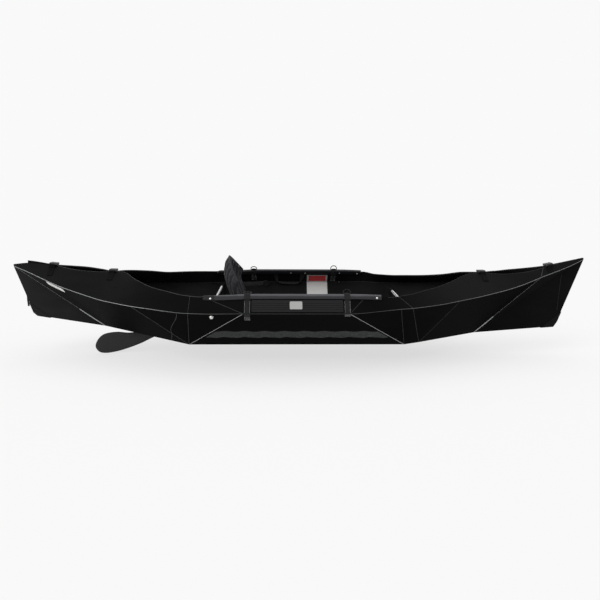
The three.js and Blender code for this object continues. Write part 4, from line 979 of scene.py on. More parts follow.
class KAYAK_OT_creases(KayakPiece, bpy.types.Operator):
    """Lays the whitened beads along the hull's folds, pale partly from wear and partly as a painted highlight"""

    bl_idname = "kayak.creases"
    bl_label = "Creases"

    def execute(self, context):
        form = form_now()
        radius = context.scene.kayak_sizes.crease
        s = form.stations
        keel, floor = form.keel, form.floor
        k = np.linspace(s[0], s[-1], 420)
        lines = [("knuckle_crease", form.knuckle(k), np.interp(k, *KNUCKLE_WEAR_AND_HIGHLIGHT), 1.0)]

        def fold(name, path, wear, size=1.0):
            lines.append((name, path, np.full(len(path), wear), size))

        def ruling(name, top, foot, wear, size=1.0):
            share = np.linspace(0.01, 0.985, 40)[:, None]
            fold(name, foot + share * (form.knuckle(np.array([top])) - foot), wear, size)

        def on_strake(name, first, last, wear, size=0.6):
            share = np.linspace(0.02, 0.98, 24)
            fold(name, form.strake(first[0] + share * (last[0] - first[0]), first[1] + share * (last[1] - first[1])),
                 wear, size)

        ruling("stern_end_crease", s[0], keel["stern_foot"], 0.45, 0.8)
        ruling("bow_end_crease", form.crease_top, keel["bow_foot"], 0.42, 0.9)
        ruling("stern_side_crease", s[MID_STERN], floor["stern"], 0.95)
        ruling("bow_side_crease", s[MID_BOW], floor["bow"], 0.95)
        ruling("stern_fan_crease", s[STERN_DIAGONAL], floor["stern"], 0.2, 0.7)
        ruling("bow_fan_crease", s[BOW_DIAGONAL], floor["knee"], 0.08, 0.7)
        w = np.linspace(0.98, 0.3, 30)
        cone = floor["stern"] + w[:, None] * (form.knuckle(-0.551 - 0.209 * ((1 - w) / 0.7) ** 2) - floor["stern"])
        edge = keel["stern_foot"] + 0.80 * (floor["stern"] - keel["stern_foot"])
        share = np.linspace(0.05, 0.95, 8)[:, None]
        fold("stern_outer_crease", np.concatenate([cone, cone[-1:] + share * (edge - cone[-1:])]), 0.18, 0.7)
        ruling("stern_inner_crease", -0.500, floor["stern"], 0.14, 0.7)
        ruling("bow_inner_crease", 0.421, floor["bow"], 0.09, 0.7)
        ruling("bow_outer_crease", 0.475, floor["knee"], 0.09, 0.7)
        on_strake("stern_strake_crease", (-0.500, 0), (-0.493, 1), 0.10)
        on_strake("stern_strake_diagonal", (-0.434, 1), (-0.263, 0), 0.14)
        on_strake("bow_strake_crease", (0.475, 0), (0.414, 1), 0.14)
        on_strake("bow_strake_diagonal", (0.191, 0), (0.262, 1), 0.10)
        on_strake("bow_tip_crease", (form.crease_top, 0), (form.crease_top + 0.022, 1), 0.25)
        # Painted highlights: pale beads along the rims, where light catches the cut edge
        for name, first, last, highlight_share in (("stern_rim_highlight", -1.2, -0.44, 0.24), ("bow_rim_highlight", 0.36, 1.25, 0.09)):
            x = np.linspace(first, last, 160)
            fold(f"{name}_wear", form.rim(x) + (0, -0.3 * MM, -0.4 * MM), highlight_share, 0.6)
        for end in ("stern", "bow"):
            low, high = keel[f"{end}_corner"], keel[f"{end}_corner_top"]
            share = np.linspace(0, 1, 20)[:, None]
            foot = keel[f"{end}_foot"]
            fold(f"{end}_corner_wear", low + share * 0.12 * (foot - low) + (0, -0.6 * MM, 0.4 * MM), 0.5, 0.8)
            fold(f"{end}_corner_edge", low + share * (high - low) + (0, -0.6 * MM, 0), 0.25, 0.6)
        down = np.linspace(0.02, 0.98, 30)[:, None]
        fold("bow_plate_crease", np.array([1.269, -0.0070, 0.300]) - down * (0.007, -0.0010, 0.190), 0.05, 0.6)
        inner = form.knuckle(k) + form.mitre(k, form.foot(k)) + (0, 0.0006, 0.0002)
        within = (inner[:, 1] < -0.012) & (k > -1.15) & (k < 1.1)
        fold("inner_knuckle_crease", inner[within], 0.12, 0.6)
        for name, path, wear, size in lines:
            bead = sweep(path, (0, 0, 1), radius * size, radius * size, ROUND, 8)
            wear = np.repeat(np.concatenate([wear[:1], wear, wear[-1:]]), 8)
            both_sides(name, bead, ["crease"], slot="hull_sheet", wear=wear)
        return {"FINISHED"}


def banded(parts):
    """Several sweeps as one: points, faces and places."""
    points, faces = joined(*parts)
    return points, faces, np.concatenate([part[2] for part in parts])


def stitching(rows, sizes):
    """Stitches as slim beads, a little apart, along each row of (start, end, normal)."""
    bead = softened_block((0, 0, 0), (1, 1, 1), squareness=1.0, rows=4, sides=6)
    centres, along, out = [], [], []
    for start, end, normal in rows:
        start, end = np.asarray(start), np.asarray(end)
        count = max(int(np.linalg.norm(end - start) / (sizes.stitch * 1.3)), 1)
        share = (np.arange(count) + 0.5) / count
        centres.append(start + share[:, None] * (end - start))
        along.append(np.tile(unit(end - start), (count, 1)))
        out.append(np.tile(unit(np.asarray(normal)), (count, 1)))
    centres, along, out = (np.concatenate(part) for part in (centres, along, out))
    return scattered(bead, centres, along * sizes.stitch / 2, np.cross(along, out) * sizes.thread, out * sizes.thread)


def boxed_cross(corners, normal):
    """The rows of a sewn box with its two diagonals."""
    a, b, c, d = corners
    return [(first, last, normal) for first, last in ((a, b), (b, c), (c, d), (d, a), (a, c), (b, d))]


def domed(centre, axis, radius, height):
    """A rivet or stud head: a low rim, and r(s) = R cos(s), h(s) = H sin(s) over it."""
    turn = np.linspace(0, pi / 2, 7)
    profile = [(0, -0.3 * height), (radius, -0.3 * height), (radius, 0.12 * height)]
    profile += [(radius * 0.96 * cos(a), height * (0.2 + 0.8 * sin(a))) for a in turn]
    return turned(profile, centre, axis, 20)


def droop(x):
    """How far a rail's ends hang below its middle: a smooth step from 0.22 m out, deeper at the stern."""
    share = np.clip((np.abs(x) - 0.20) / 0.20, 0, 1)
    return np.where(np.asarray(x) < 0, 0.0065, 0.0050) * share * share * (3 - 2 * share)


def drooped(made):
    """The piece cut across into short stretches, so that it bends down with its ends."""
    work = bmesh.new()
    work.from_mesh(made.data)
    for x in np.concatenate([np.linspace(-0.43, -0.20, 13), np.linspace(0.20, 0.35, 9)]):
        everything = work.verts[:] + work.edges[:] + work.faces[:]
        bmesh.ops.bisect_plane(work, geom=everything, dist=1e-7, plane_co=(x, 0, 0), plane_no=(1, 0, 0))
    work.to_mesh(made.data)
    work.free()
    points = mesh_arrays(made)[0]
    points[:, 2] -= droop(points[:, 0])
    made.data.vertices.foreach_set("co", points.ravel())
    made.data.update()
    return made


class KAYAK_OT_rails(KayakPiece, bpy.types.Operator):
    """Slips the rails over the rim, with their caps, rivets and the ribbed boards below"""

    bl_idname = "kayak.rails"
    bl_label = "Rails"

    def execute(self, context):
        form = form_now()
        for word, sign in SIDES.items():
            drooped(eased_copy(f"{word}_rail", f"{word}_side_rail", "rail", 0.9 * MM))
            eased_copy(f"{word}_stiffener", f"{word}_ribbed_board", "stiffener", 0.5 * MM)
            for end in ("stern", "bow"):
                drooped(eased_copy(f"{word}_{end}_rail_cap", f"{word}_{end}_rail_end",
                                   "cap" if end == "stern" else "rail", 1.6 * MM))
            low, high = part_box(f"{word}_stiffener")
            line = form.on_strake(np.full(30, LIP_RISE), np.full(30, GAP + 0.0017))
            line[:, 0] = np.linspace(low[0] + MM, high[0] - MM, 30)
            lip = sweep(line, form.up, 0.0042, 0.0017, 0.4, 12)
            piece(f"{word}_ribbed_lip", mirrored(lip[0], sign), lip[1], ["stiffener"], slot="stiffener")
        share = np.linspace(0, 1, 14)
        rise = RAIL_ABOVE - RAIL_HEIGHT / 2 - share ** 1.5 * 0.002
        path = form.on_strake(rise, np.full(14, -form.sheet / 2))
        path[:, 0] = NOSE_START + 0.004 - share * (NOSE_REACH + 0.004)
        path[:, 1] += share ** 1.5 * 0.004
        shrink = np.sqrt(1.0 - (share * 0.985) ** 2.6)
        nose = sweep(path, form.up, RAIL_HEIGHT * 0.5 * shrink, RAIL_WIDTH * 0.5 * shrink ** 0.7, 0.5, 24)
        nose[0][:, 2] -= droop(nose[0][:, 0])
        both_sides("stern_rail_nose", nose, ["cap"], slot="black_cap", angle=60)
        heads = []
        for x, size, faces_on in RIVETS:
            for way in faces_on:
                stand = way * RAIL_WIDTH / 2 - form.sheet / 2
                spot = form.on_strake(np.array(RAIL_ABOVE - RAIL_HEIGHT * 0.70), np.array(stand))
                heads.append(domed((x, spot[1], spot[2] - droop(x)), way * form.out, size, size * 0.5))
        spot = form.on_strake(np.array(-form.strake_height + 0.004), np.array(-form.sheet))
        heads.append(domed((0.2178, spot[1], spot[2]), -form.out, 0.0040, 0.0022))
        both_sides("rail_rivets", joined(*heads), ["rivet"], slot="steel")
        return {"FINISHED"}


def rail_strap_path(form, end, thick):
    """The middle of the webbing's thickness: up inside the strake, round the rail, down over the knuckle."""
    half, skin = thick / 2, 2 * GAP
    reach = RAIL_WIDTH / 2 - form.sheet / 2 + GAP
    low, top = RAIL_ABOVE - RAIL_HEIGHT - GAP, RAIL_ABOVE + GAP
    tall, inside = form.strake_height, -form.sheet - skin - half
    fold = (skin + half) * np.tan(0.5 * np.arccos(np.dot(form.up, -form.side_down)))
    rise = np.array([-STRAP_INNER_SHARE[end] * tall, low - 0.006, low - 0.001, top - 0.003, top + half, top + half,
                     top - 0.003, low - 0.001, low - 0.006, -tall - fold])
    stand = np.array([inside, inside, -form.sheet - reach - half, -form.sheet - reach - half,
                      -form.sheet - reach + 0.003, reach - 0.003, reach + half, reach + half, skin + half, skin + half])
    foot = form.on_side(np.array([STRAP_OUTER_DROP[end]]), np.array([skin + half]))
    return np.concatenate([form.on_strake(rise, stand), foot])


class KAYAK_OT_rail_straps(KayakPiece, bpy.types.Operator):
    """Wraps the webbing straps over the rails and hangs the rings in their loops"""

    bl_idname = "kayak.rail_straps"
    bl_label = "Rail straps"

    def execute(self, context):
        self.form, self.sizes = form_now(), context.scene.kayak_sizes
        height = RAIL_ABOVE + GAP + self.sizes.webbing + KEEPER_ROOM + RING_WIRE / 2
        self.centre = self.form.on_strake(np.array(height), np.array(-self.form.sheet / 2))
        for word, sign in SIDES.items():
            for end in ("stern", "bow"):
                x = STRAP_STATIONS[end] * self.form.half[0]
                self.webbing(word, end, sign, x)
                self.stitches(word, end, sign, x)
                self.ring(f"{word}_{end}", sign, x)
        return {"FINISHED"}

    def webbing(self, word, end, sign, x):
        """The strap and the small loop on top of it that keeps the ring."""
        thick = self.sizes.webbing
        path = rail_strap_path(self.form, end, thick)
        path[:, 0] = x
        band = sweep(eased(path, 0.0025), (1, 0, 0), self.sizes.rail_webbing / 2, thick / 2, STRAP, 20)
        turn = np.linspace(0, 2 * pi, 28, endpoint=False)
        radius = RING_WIRE / 2 + KEEPER_ROOM + thick / 2
        loop = self.centre + radius * np.stack([0 * turn, np.cos(turn), np.sin(turn)], -1)
        loop[:, 0] = x
        keeper = sweep(loop, (1, 0, 0), KEEPER_WIDTH / 2, thick / 2, STRAP, 16, closed=True)
        points, faces, place = banded([band, keeper])
        made = piece(f"{word}_{end}_rail_webbing", mirrored(points, sign), faces, ["webbing"], slot="webbing",
                     uv=place)
        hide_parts(f"{word}_{end}_rail_strap")

    def stitches(self, word, end, sign, x):
        """A sewn box at each end of the strap, and a row along each edge below the rail."""
        form = self.form
        across = np.array([self.sizes.rail_webbing / 2 - 0.0018, 0, 0])
        skin = 2 * GAP + self.sizes.webbing + 0.0001
        drop, low = STRAP_OUTER_DROP[end], -STRAP_INNER_SHARE[end] * form.strake_height
        foot = form.on_side(np.array([drop - 0.003, max(drop - 0.022, 0.002)]), np.full(2, skin))
        head = form.on_strake(np.array([low + 0.003, low + 0.036]), np.full(2, -form.sheet - skin))
        face = form.on_strake(np.array([-0.020, -form.strake_height + 0.004]), np.full(2, skin))
        foot[:, 0] = head[:, 0] = face[:, 0] = x
        rows = [(face[0] + way * across, face[1] + way * across, form.out) for way in (-1, 1)]
        for (first, last), out in ((foot, form.side_out), (head, -form.out)):
            rows += boxed_cross((first - across, first + across, last + across, last - across), out)
        points, faces = stitching(rows, self.sizes)
        piece(f"{word}_{end}_rail_stitches", mirrored(points, sign), faces, ["thread"], slot="webbing")

    def ring(self, place, sign, x):
        """The D-ring: a straight bar in its loop and an arched wire, thicker away from the bar."""
        tilt = radians(RING_TILTS[place])
        rise = np.array([0, -sin(tilt), cos(tilt)])
        arc = np.linspace(0, pi, 25)
        wide, shoulder = (RING_WIDTH - RING_WIRE) / 2, RING_HEIGHT * 0.25
        crown = RING_HEIGHT - RING_WIRE / 2 - shoulder
        flat = np.concatenate([[(-wide, 0), (wide, 0)],
                               np.stack([wide * np.cos(arc), shoulder + crown * np.sin(arc)], -1)])
        flat = eased(flat, 0.003, 5, closed=True)
        ring = self.centre + flat[:, :1] * np.array([1, 0, 0]) + flat[:, 1:] * rise
        ring[:, 0] += x - self.centre[0]
        wire = RING_WIRE / 2 + 0.0006 * np.clip(flat[:, 1] / 0.005, 0, 1)
        points, faces, _ = sweep(ring, np.cross((1, 0, 0), rise), wire, wire, ROUND, 14, closed=True)
        made = piece(f"{place}_ring", mirrored(points, sign), faces, ["steel"], f"{place}_d_ring", "steel")
        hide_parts(f"{place}_d_ring")


def deck_seat(form, row):
    """Where a deck buckle lies: station, height and slope of the rims there."""
    x = form.stations[row]
    height = np.interp([x - BUCKLE_WIDTH / 2, x + BUCKLE_WIDTH / 2], form.stations, LINES[:, 4] * form.half[2])
    middle = height.mean() + max(LINES[row, 4] * form.half[2] - height.mean(), 0) + GAP
    return x, middle, (height[1] - height[0]) / BUCKLE_WIDTH


def deck_webbing(form, row, thick, width):
    """The webbing as two grids: from inside the buckle over the rim's edge and down the strake."""
    x, height, slope = deck_seat(form, row)
    across = np.linspace(-width / 2, width / 2, 7)
    paths = []
    for station in x + across:
        rim, knuckle = form.rim(np.array([station]))[0], form.knuckle(np.array([station]))[0]
        down = unit(knuckle - rim)
        out = np.array([0.0, down[2], -down[1]])
        reach = min(DECK_REACH, 0.85 * np.linalg.norm(knuckle - rim))
        level = height + slope * (station - x) + BUCKLE_HEIGHT / 2 + thick / 2
        bend = min(max(BUCKLE_LENGTH / 2 + rim[1], 0) + 0.009, 0.6 * reach)
        runs = np.array([bend, (bend + reach) / 2, reach])[:, None]
        low = rim + down * runs + out * (0.0008 + thick / 2)
        inside = [(station, -BUCKLE_LENGTH / 2 + 0.010, level),
                  (station, -BUCKLE_LENGTH / 2 - thick, level)]
        paths.append(resampled(eased(np.concatenate([inside, low]), 0.006), 40))
    grid = np.stack(paths)
    normal = unit(np.cross(np.gradient(grid, axis=0), np.gradient(grid, axis=1)))
    return grid + normal * thick / 2, grid - normal * thick / 2, grid, normal


class KAYAK_OT_deck_buckles(KayakPiece, bpy.types.Operator):
    """Closes the end decks with webbing and side-release buckles"""

    bl_idname = "kayak.deck_buckles"
    bl_label = "Deck buckles"

    def execute(self, context):
        form, sizes = form_now(), context.scene.kayak_sizes
        half = np.array([BUCKLE_WIDTH, BUCKLE_LENGTH, BUCKLE_HEIGHT]) / 2
        wall = BUCKLE_WALL
        for place, row in DECK_ROWS.items():
            x, height, slope = deck_seat(form, row)
            tilt = np.arctan(slope)
            axes = np.array([(cos(tilt), 0, sin(tilt)), (0, 1, 0), (-sin(tilt), 0, cos(tilt))])
            seat = np.array([x, 0, height])

            def blocks(*rows):
                """Rounded blocks by middle and half sizes on the buckle's own axes, twice if off its middle line."""
                return [softened_block(seat + np.array([across * way, along, up]) @ axes, size, axes, squareness)
                        for (across, along, up), size, squareness in rows for way in ((1, -1) if across else (1,))]

            outer, inner, grid, normal = deck_webbing(form, row, sizes.webbing, sizes.deck_webbing)
            strap, faces, _ = slab(outer, inner)
            breadth = np.linspace(-0.5, 0.5, len(grid)) * sizes.deck_webbing
            uv = np.stack(np.broadcast_arrays(run_along(grid[3]), breadth[:, None]), -1).reshape(-1, 2)
            uv = np.concatenate([uv, uv])
            facing = np.sign((normal[3, -6] * (0, -1, 0.3)).sum())
            skin = grid + normal * sizes.webbing / 2
            rows = []
            for first, last, spot in DECK_STITCHES:
                sunk = normal[spot] * (facing - 1) * sizes.webbing / 2
                rows.append((skin[first] + sunk, skin[last] + sunk, normal[spot] * facing))
            stitch = stitching(rows, sizes)
            wide, _, middle = half
            post, lid = (middle - wall) * 0.96, wall * 0.9
            socket = joined(*blocks(
                ((0, -0.0075, middle * 2 - lid), (wide, 0.0105, lid), 0.25),
                ((0, -0.0075, lid), (wide, 0.0105, lid), 0.25),
                ((0, 0.0008, middle * 2 - lid), (wide * 0.82, 0.0026, wall * 0.95), 0.4),
                ((wide - wall, -0.0002, middle), (wall, 0.0032, post), 0.4),
                ((wide - wall, -0.0185, middle), (wall, 0.0038, post), 0.4),
                ((0, -0.0172, middle), (wide * 0.93, 0.0016, post), 0.35),
                ((0, -0.0238, middle), (wide, 0.0016, 0.0017), 0.6),
                ((wide - 0.0025, -0.0205, middle), (0.0025, 0.0046, post * 0.8), 0.4),
            ))
            prong_out = wide - wall - 2 * GAP
            tip = BUCKLE_MOUTH + GAP - TONGUE + 2 * GAP
            prong = np.array([(prong_out - 0.0042, 0.006, middle), (prong_out - 0.0040, -0.002, middle),
                              (prong_out - 0.0018, tip * 0.55, middle), (prong_out - 0.0022, tip * 0.9, middle),
                              (prong_out - 0.0052, tip, middle)])
            breadths = np.interp(np.linspace(0, 1, 30), [0, 0.45, 0.75, 1], [0.0015, 0.0013, 0.0020, 0.0009])
            arms = [sweep(resampled(eased(prong * (way, 1, 1), 0.004), 30), (1, 0, 0), breadths, 0.0028, 0.5, 12)
                    for way in (-1, 1)]
            clip = joined(*blocks(
                ((0, 0.0105, middle), (wide * 0.97, 0.0068, middle * 0.96), 0.32),
                ((0, 0.0052, middle), (wide, 0.0019, middle), 0.4),
                ((wide - 0.0025, 0.0185, middle), (0.0025, 0.0055, middle * 0.78), 0.4),
                ((0, 0.0236, middle), (wide, 0.0014, 0.0017), 0.6),
                ((0, tip * 0.4, middle), (0.0022, abs(tip) * 0.55, 0.0022), 0.35),
            ), *((seat + arm[0] @ axes, arm[1]) for arm in arms))
            for word, sign, body, solid in (("socket", 1, "hull", socket), ("clip", -1, f"{place}_buckle_clip", clip)):
                made = piece(f"{place}_{word}_shell", solid[0], solid[1], ["buckle"], body, "buckle", angle=50)
                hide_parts(f"{place}_buckle_{word}")
                piece(f"{place}_{word}_webbing", mirrored(strap, sign), faces, ["deck_webbing"], body, "webbing",
                      uv=uv)
                piece(f"{place}_{word}_stitches", mirrored(stitch[0], sign), stitch[1], ["dark_thread"], body,
                      "webbing")
        return {"FINISHED"}


class KAYAK_OT_boards(KayakPiece, bpy.types.Operator):
    """Lays the floor board and stands the folding bulkheads with their bars"""

    bl_idname = "kayak.boards"
    bl_label = "Boards"

    def execute(self, context):
        form = form_now()
        eased_copy("floor_board", "inner_floor_board", "board", 0.8 * MM)
        for name, (station, head, core, end, thick) in BULKHEADS.items():
            x, top = station * form.half[0], head * form.half[2]
            eased_copy(f"{name}_bulkhead", f"{name}_middle_board", "board", 0.8 * MM)
            # The bars' pale finish is a painted highlight along the bulkheads' top edges
            middle, wing = (
                sweep(resampled([(x, first, top - 0.005), (x, last, top - 0.005)], count), (1, 0, 0), thick, thick,
                      0.7, 20)
                for first, last, count in ((-core + 0.0004, core - 0.0004, 12), (-core - 0.0010, -end, 8)))
            piece(f"{name}_middle_highlight_bar", middle[0], middle[1], ["bar"], f"{name}_bulkhead", "board")
            for word, sign in SIDES.items():
                eased_copy(f"{word}_{name}_wing", f"{word}_{name}_wing_board", "board", 0.8 * MM)
                piece(f"{word}_{name}_wing_highlight_bar", mirrored(wing[0], sign), wing[1], ["bar"], f"{word}_{name}_wing",
                      "board")
        return {"FINISHED"}


def centripetal(points, count):
    """A curve through the points: cubic pieces whose knots lie apart as the root of the points' distance."""
    points = np.asarray(points, float)
    full = np.concatenate([2 * points[:1] - points[1:2], points, 2 * points[-1:] - points[-2:-1]])
    place = np.linspace(0, len(points) - 1, count)
    i = np.minimum(place.astype(int), len(points) - 2)
    share = (place - i)[:, None]
    p0, p1, p2, p3 = (full[i + k] for k in range(4))
    d0, d1, d2 = (np.maximum(np.linalg.norm(b - a, axis=-1, keepdims=True), 1e-9) ** 0.5
                  for a, b in ((p0, p1), (p1, p2), (p2, p3)))
    start = ((p1 - p0) / d0 - (p2 - p0) / (d0 + d1) + (p2 - p1) / d1) * d1
    finish = ((p2 - p1) / d1 - (p3 - p1) / (d1 + d2) + (p3 - p2) / d2) * d1
    return (p1 + start * share + (3 * (p2 - p1) - 2 * start - finish) * share ** 2
            + (2 * (p1 - p2) + start + finish) * share ** 3)


def channel(count, place, power=8.0):
    """How deep a sewn line lies at a place from -1 to 1: |cos(n pi (p + 1) / 2)| ** power."""
    return np.abs(np.cos(pi * count * (place + 1) / 2)) ** power


def cushion_edge(u, v, power):
    """A cushion's share of its thickness: the root of (1 - |u| ** p)(1 - |v| ** p)."""
    return np.sqrt(np.clip((1 - np.abs(u) ** power) * (1 - np.abs(v) ** power), 0, 1))


def two_sided(front, back):
    """A closed cushion from two grids that share their border."""
    down, across = front.shape[:2]
    points = np.concatenate([front.reshape(-1, 3), back.reshape(-1, 3)])
    return points, np.concatenate([grid_faces(down, across), grid_faces(down, across, start=down * across)[:, ::-1]])


def back_half(t):
    """The backrest's half width, narrower towards its foot."""
    return BACK_HALF * (1 - BACK_DRAWN * (1 - t))


def back_fall(s, t):
    """How much of its height the backrest keeps towards its sides: 1 - f |s| ** p t."""
    return 1 - BACK_FALL * np.abs(s) ** BACK_FALL_POWER * t


def pad_place(u, v, height, inset=0.0):
    """A place on the pad: (u, v) across and along, with the sides drawn in between the corners."""
    return np.stack([PAD_MIDDLE + v * (1 - PAD_DRAWN * (1 - u * u)) * (PAD_LENGTH / 2 - inset),
                     u * (1 - PAD_DRAWN * (1 - v * v)) * (PAD_WIDTH - inset), height + 0 * u], -1)


def back_centre(s, t):
    """The backrest's middle surface: a curved spine, sides drawn forward, and a head that falls to the sides."""
    spine = centripetal(np.stack([np.array(BACK_SPINE) * BACK_HEIGHT,
                                  np.linspace(0, BACK_HEIGHT, len(BACK_SPINE))], -1), 201)
    x, z = (np.interp(t, np.linspace(0, 1, 201), column) for column in spine.T)
    rise = np.clip((t - 0.26) / 0.32, 0, 1)
    wrap = 0.058 * rise * rise * (3 - 2 * rise) * s * s
    return np.stack([BACK_FOOT + x + wrap, back_half(t) * s, BOARD_TOP + GAP + z * back_fall(s, t)], -1)


def back_normal(s, t):
    step = 0.01
    across = back_centre(s + step, t) - back_centre(s - step, t)
    upward = back_centre(s, np.minimum(t + step, 1)) - back_centre(s, np.maximum(t - step, 0))
    return unit(np.cross(across, upward))


def settled(made):
    """The piece's mesh as its modifiers leave it."""
    graph = bpy.context.evaluated_depsgraph_get()
    made.data = bpy.data.meshes.new_from_object(made.evaluated_get(graph))
    made.modifiers.clear()


def mesh_arrays(made):
    """The mesh's points, their normals and its quads."""
    mesh = made.data
    points, normals = np.zeros(len(mesh.vertices) * 3), np.zeros(len(mesh.vertices) * 3)
    mesh.vertices.foreach_get("co", points)
    mesh.vertices.foreach_get("normal", normals)
    return points.reshape(-1, 3), normals.reshape(-1, 3), [tuple(face.vertices) for face in mesh.polygons]


def swollen(points, faces, limit):
    """A cushion blown up as cloth, no point moving further than a limit, then made finer once."""
    scene = bpy.context.scene
    made = bpy.data.objects.new("swelling", bpy.data.meshes.new("swelling"))
    made.data.from_pydata(np.asarray(points).tolist(), [], np.asarray(faces).tolist())
    scene.collection.objects.link(made)
    remesh = made.modifiers.new("even faces", "REMESH")
    remesh.mode, remesh.voxel_size = "VOXEL", VOXEL
    settled(made)
    before = mesh_arrays(made)[0]
    cloth = made.modifiers.new("swell", "CLOTH")
    cloth.settings.use_pressure, cloth.settings.uniform_pressure_force = True, PRESSURE
    cloth.settings.effector_weights.gravity = 0.0
    cloth.point_cache.frame_start, cloth.point_cache.frame_end = 1, SWELL_FRAMES
    for step in range(1, SWELL_FRAMES + 1):
        scene.frame_set(step)
    settled(made)
    scene.frame_set(1)
    moved = mesh_arrays(made)[0] - before
    size = np.maximum(np.linalg.norm(moved, axis=-1, keepdims=True), 1e-9)
    made.data.vertices.foreach_set("co", (before + moved * np.minimum(1.0, limit / size)).ravel())
    finer = made.modifiers.new("finer", "SUBSURF")
    finer.levels = finer.render_levels = 1
    settled(made)
    result = mesh_arrays(made)
    bpy.data.objects.remove(made)
    return result


class KAYAK_OT_seat(KayakPiece, bpy.types.Operator):
    """Sews the seat pad and the backrest, with their channels and piping"""

    bl_idname = "kayak.seat"
    bl_label = "Seat"

    def execute(self, context):
        self.sizes = context.scene.kayak_sizes
        self.pad()
        self.backrest()
        return {"FINISHED"}

    def piping(self, name, grid, across, body):
        """The cord sewn round a cushion, along the edge of a grid on its middle surface."""
        size = self.sizes.piping
        cord = sweep(border(grid), across, size, size, ROUND, 8, closed=True)
        piece(name, cord[0], cord[1], ["fabric"], body, "pad")

    def pad(self):
        """The seat pad: (u, v) across and along, and the four channels sewn across it."""
        v, u = np.meshgrid(np.linspace(-1, 1, 91), np.linspace(-1, 1, 81), indexing="ij")
        edge = cushion_edge(u, v, 6)
        floor, half = BOARD_TOP + GAP, PAD_HEIGHT / 2
        full = half - 0.006
        upper = pad_place(u, v, floor + half + full * edge * (0.8 + 0.2 * (1 - u * u)))
        lower = pad_place(u, v, floor + half - full * edge ** 0.5)
        points, faces = two_sided(upper, lower)
        normals = np.concatenate([0 * upper + (0, 0, 1), 0 * lower - (0, 0, 1)]).reshape(-1, 3)
        points, normals, faces = swollen(points, faces, 0.010)
        v = np.clip((points[:, 0] - PAD_MIDDLE) / (PAD_LENGTH / 2), -1, 1)
        u = np.clip(points[:, 1] / PAD_WIDTH, -1, 1)
        edge, top = cushion_edge(u, v, 6), np.clip(normals[:, 2] * 2, 0, 1)
        groove = 0.0075 * channel(PAD_CHANNELS, v, 14)
        pucker = 0.0010 * np.sin(u * 46 + np.sin(v * 19) * 1.6) * channel(PAD_CHANNELS, v, 2)
        points = points - normals * ((groove + pucker) * edge * top)[:, None]
        low = (PAD_MIDDLE - PAD_LENGTH / 2, -PAD_WIDTH, floor)
        high = (PAD_MIDDLE + PAD_LENGTH / 2, PAD_WIDTH, floor + PAD_HEIGHT + 0.004)
        made = piece("seat_cushion", np.clip(points, low, high), faces, ["fabric"], slot="pad", angle=80)
        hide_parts("seat_pad")
        v, u = np.meshgrid(np.linspace(-1, 1, 61), np.linspace(-1, 1, 61), indexing="ij")
        self.piping("seat_cushion_piping", pad_place(u, v, floor + half, 0.008), (0, 0, 1), "hull")

    def backrest(self):
        """The backrest: (s, t) across and up its curved middle, with upright sewn channels on both faces."""
        t, s = np.meshgrid(np.linspace(0, 1, 91), np.linspace(-1, 1, 161), indexing="ij")
        edge = cushion_edge(s, 2 * t - 1, 8)
        middle, normal = back_centre(s, t), back_normal(s, t)
        thick = (BACK_THICK / 2 - 0.002) * edge ** 0.7
        face = normal * thick[..., None]
        points, faces = two_sided(middle + face, middle - face)
        normals = np.concatenate([normal, -normal]).reshape(-1, 3)
        points, normals, faces = swollen(points, faces, 0.004)
        rise = points[:, 2] - BOARD_TOP - GAP
        t = np.clip(rise / BACK_HEIGHT, 0, 1)
        for _ in range(6):
            s = np.clip(-points[:, 1] / back_half(t), -1, 1)
            t = np.clip(rise / (BACK_HEIGHT * back_fall(s, t)), 0, 1)
        groove = 0.0052 * channel(BACK_CHANNELS, s, 5)
        pucker = 0.0008 * np.sin(t * 60 + np.sin(s * 30) * 1.5)
        edge = cushion_edge(s, 2 * t - 1, 8)
        points = points - normals * ((groove + pucker) * np.minimum(edge * 1.2, 1))[:, None]
        made = piece("back_cushion", points, faces, ["fabric"], "backrest", "pad", angle=80)
        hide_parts("backrest")
        t, s = np.meshgrid(np.linspace(0.008, 0.980, 91), np.linspace(-0.966, 0.966, 161), indexing="ij")
        self.piping("back_cushion_piping", back_centre(s, t), (0.3, 0, 1), "backrest")


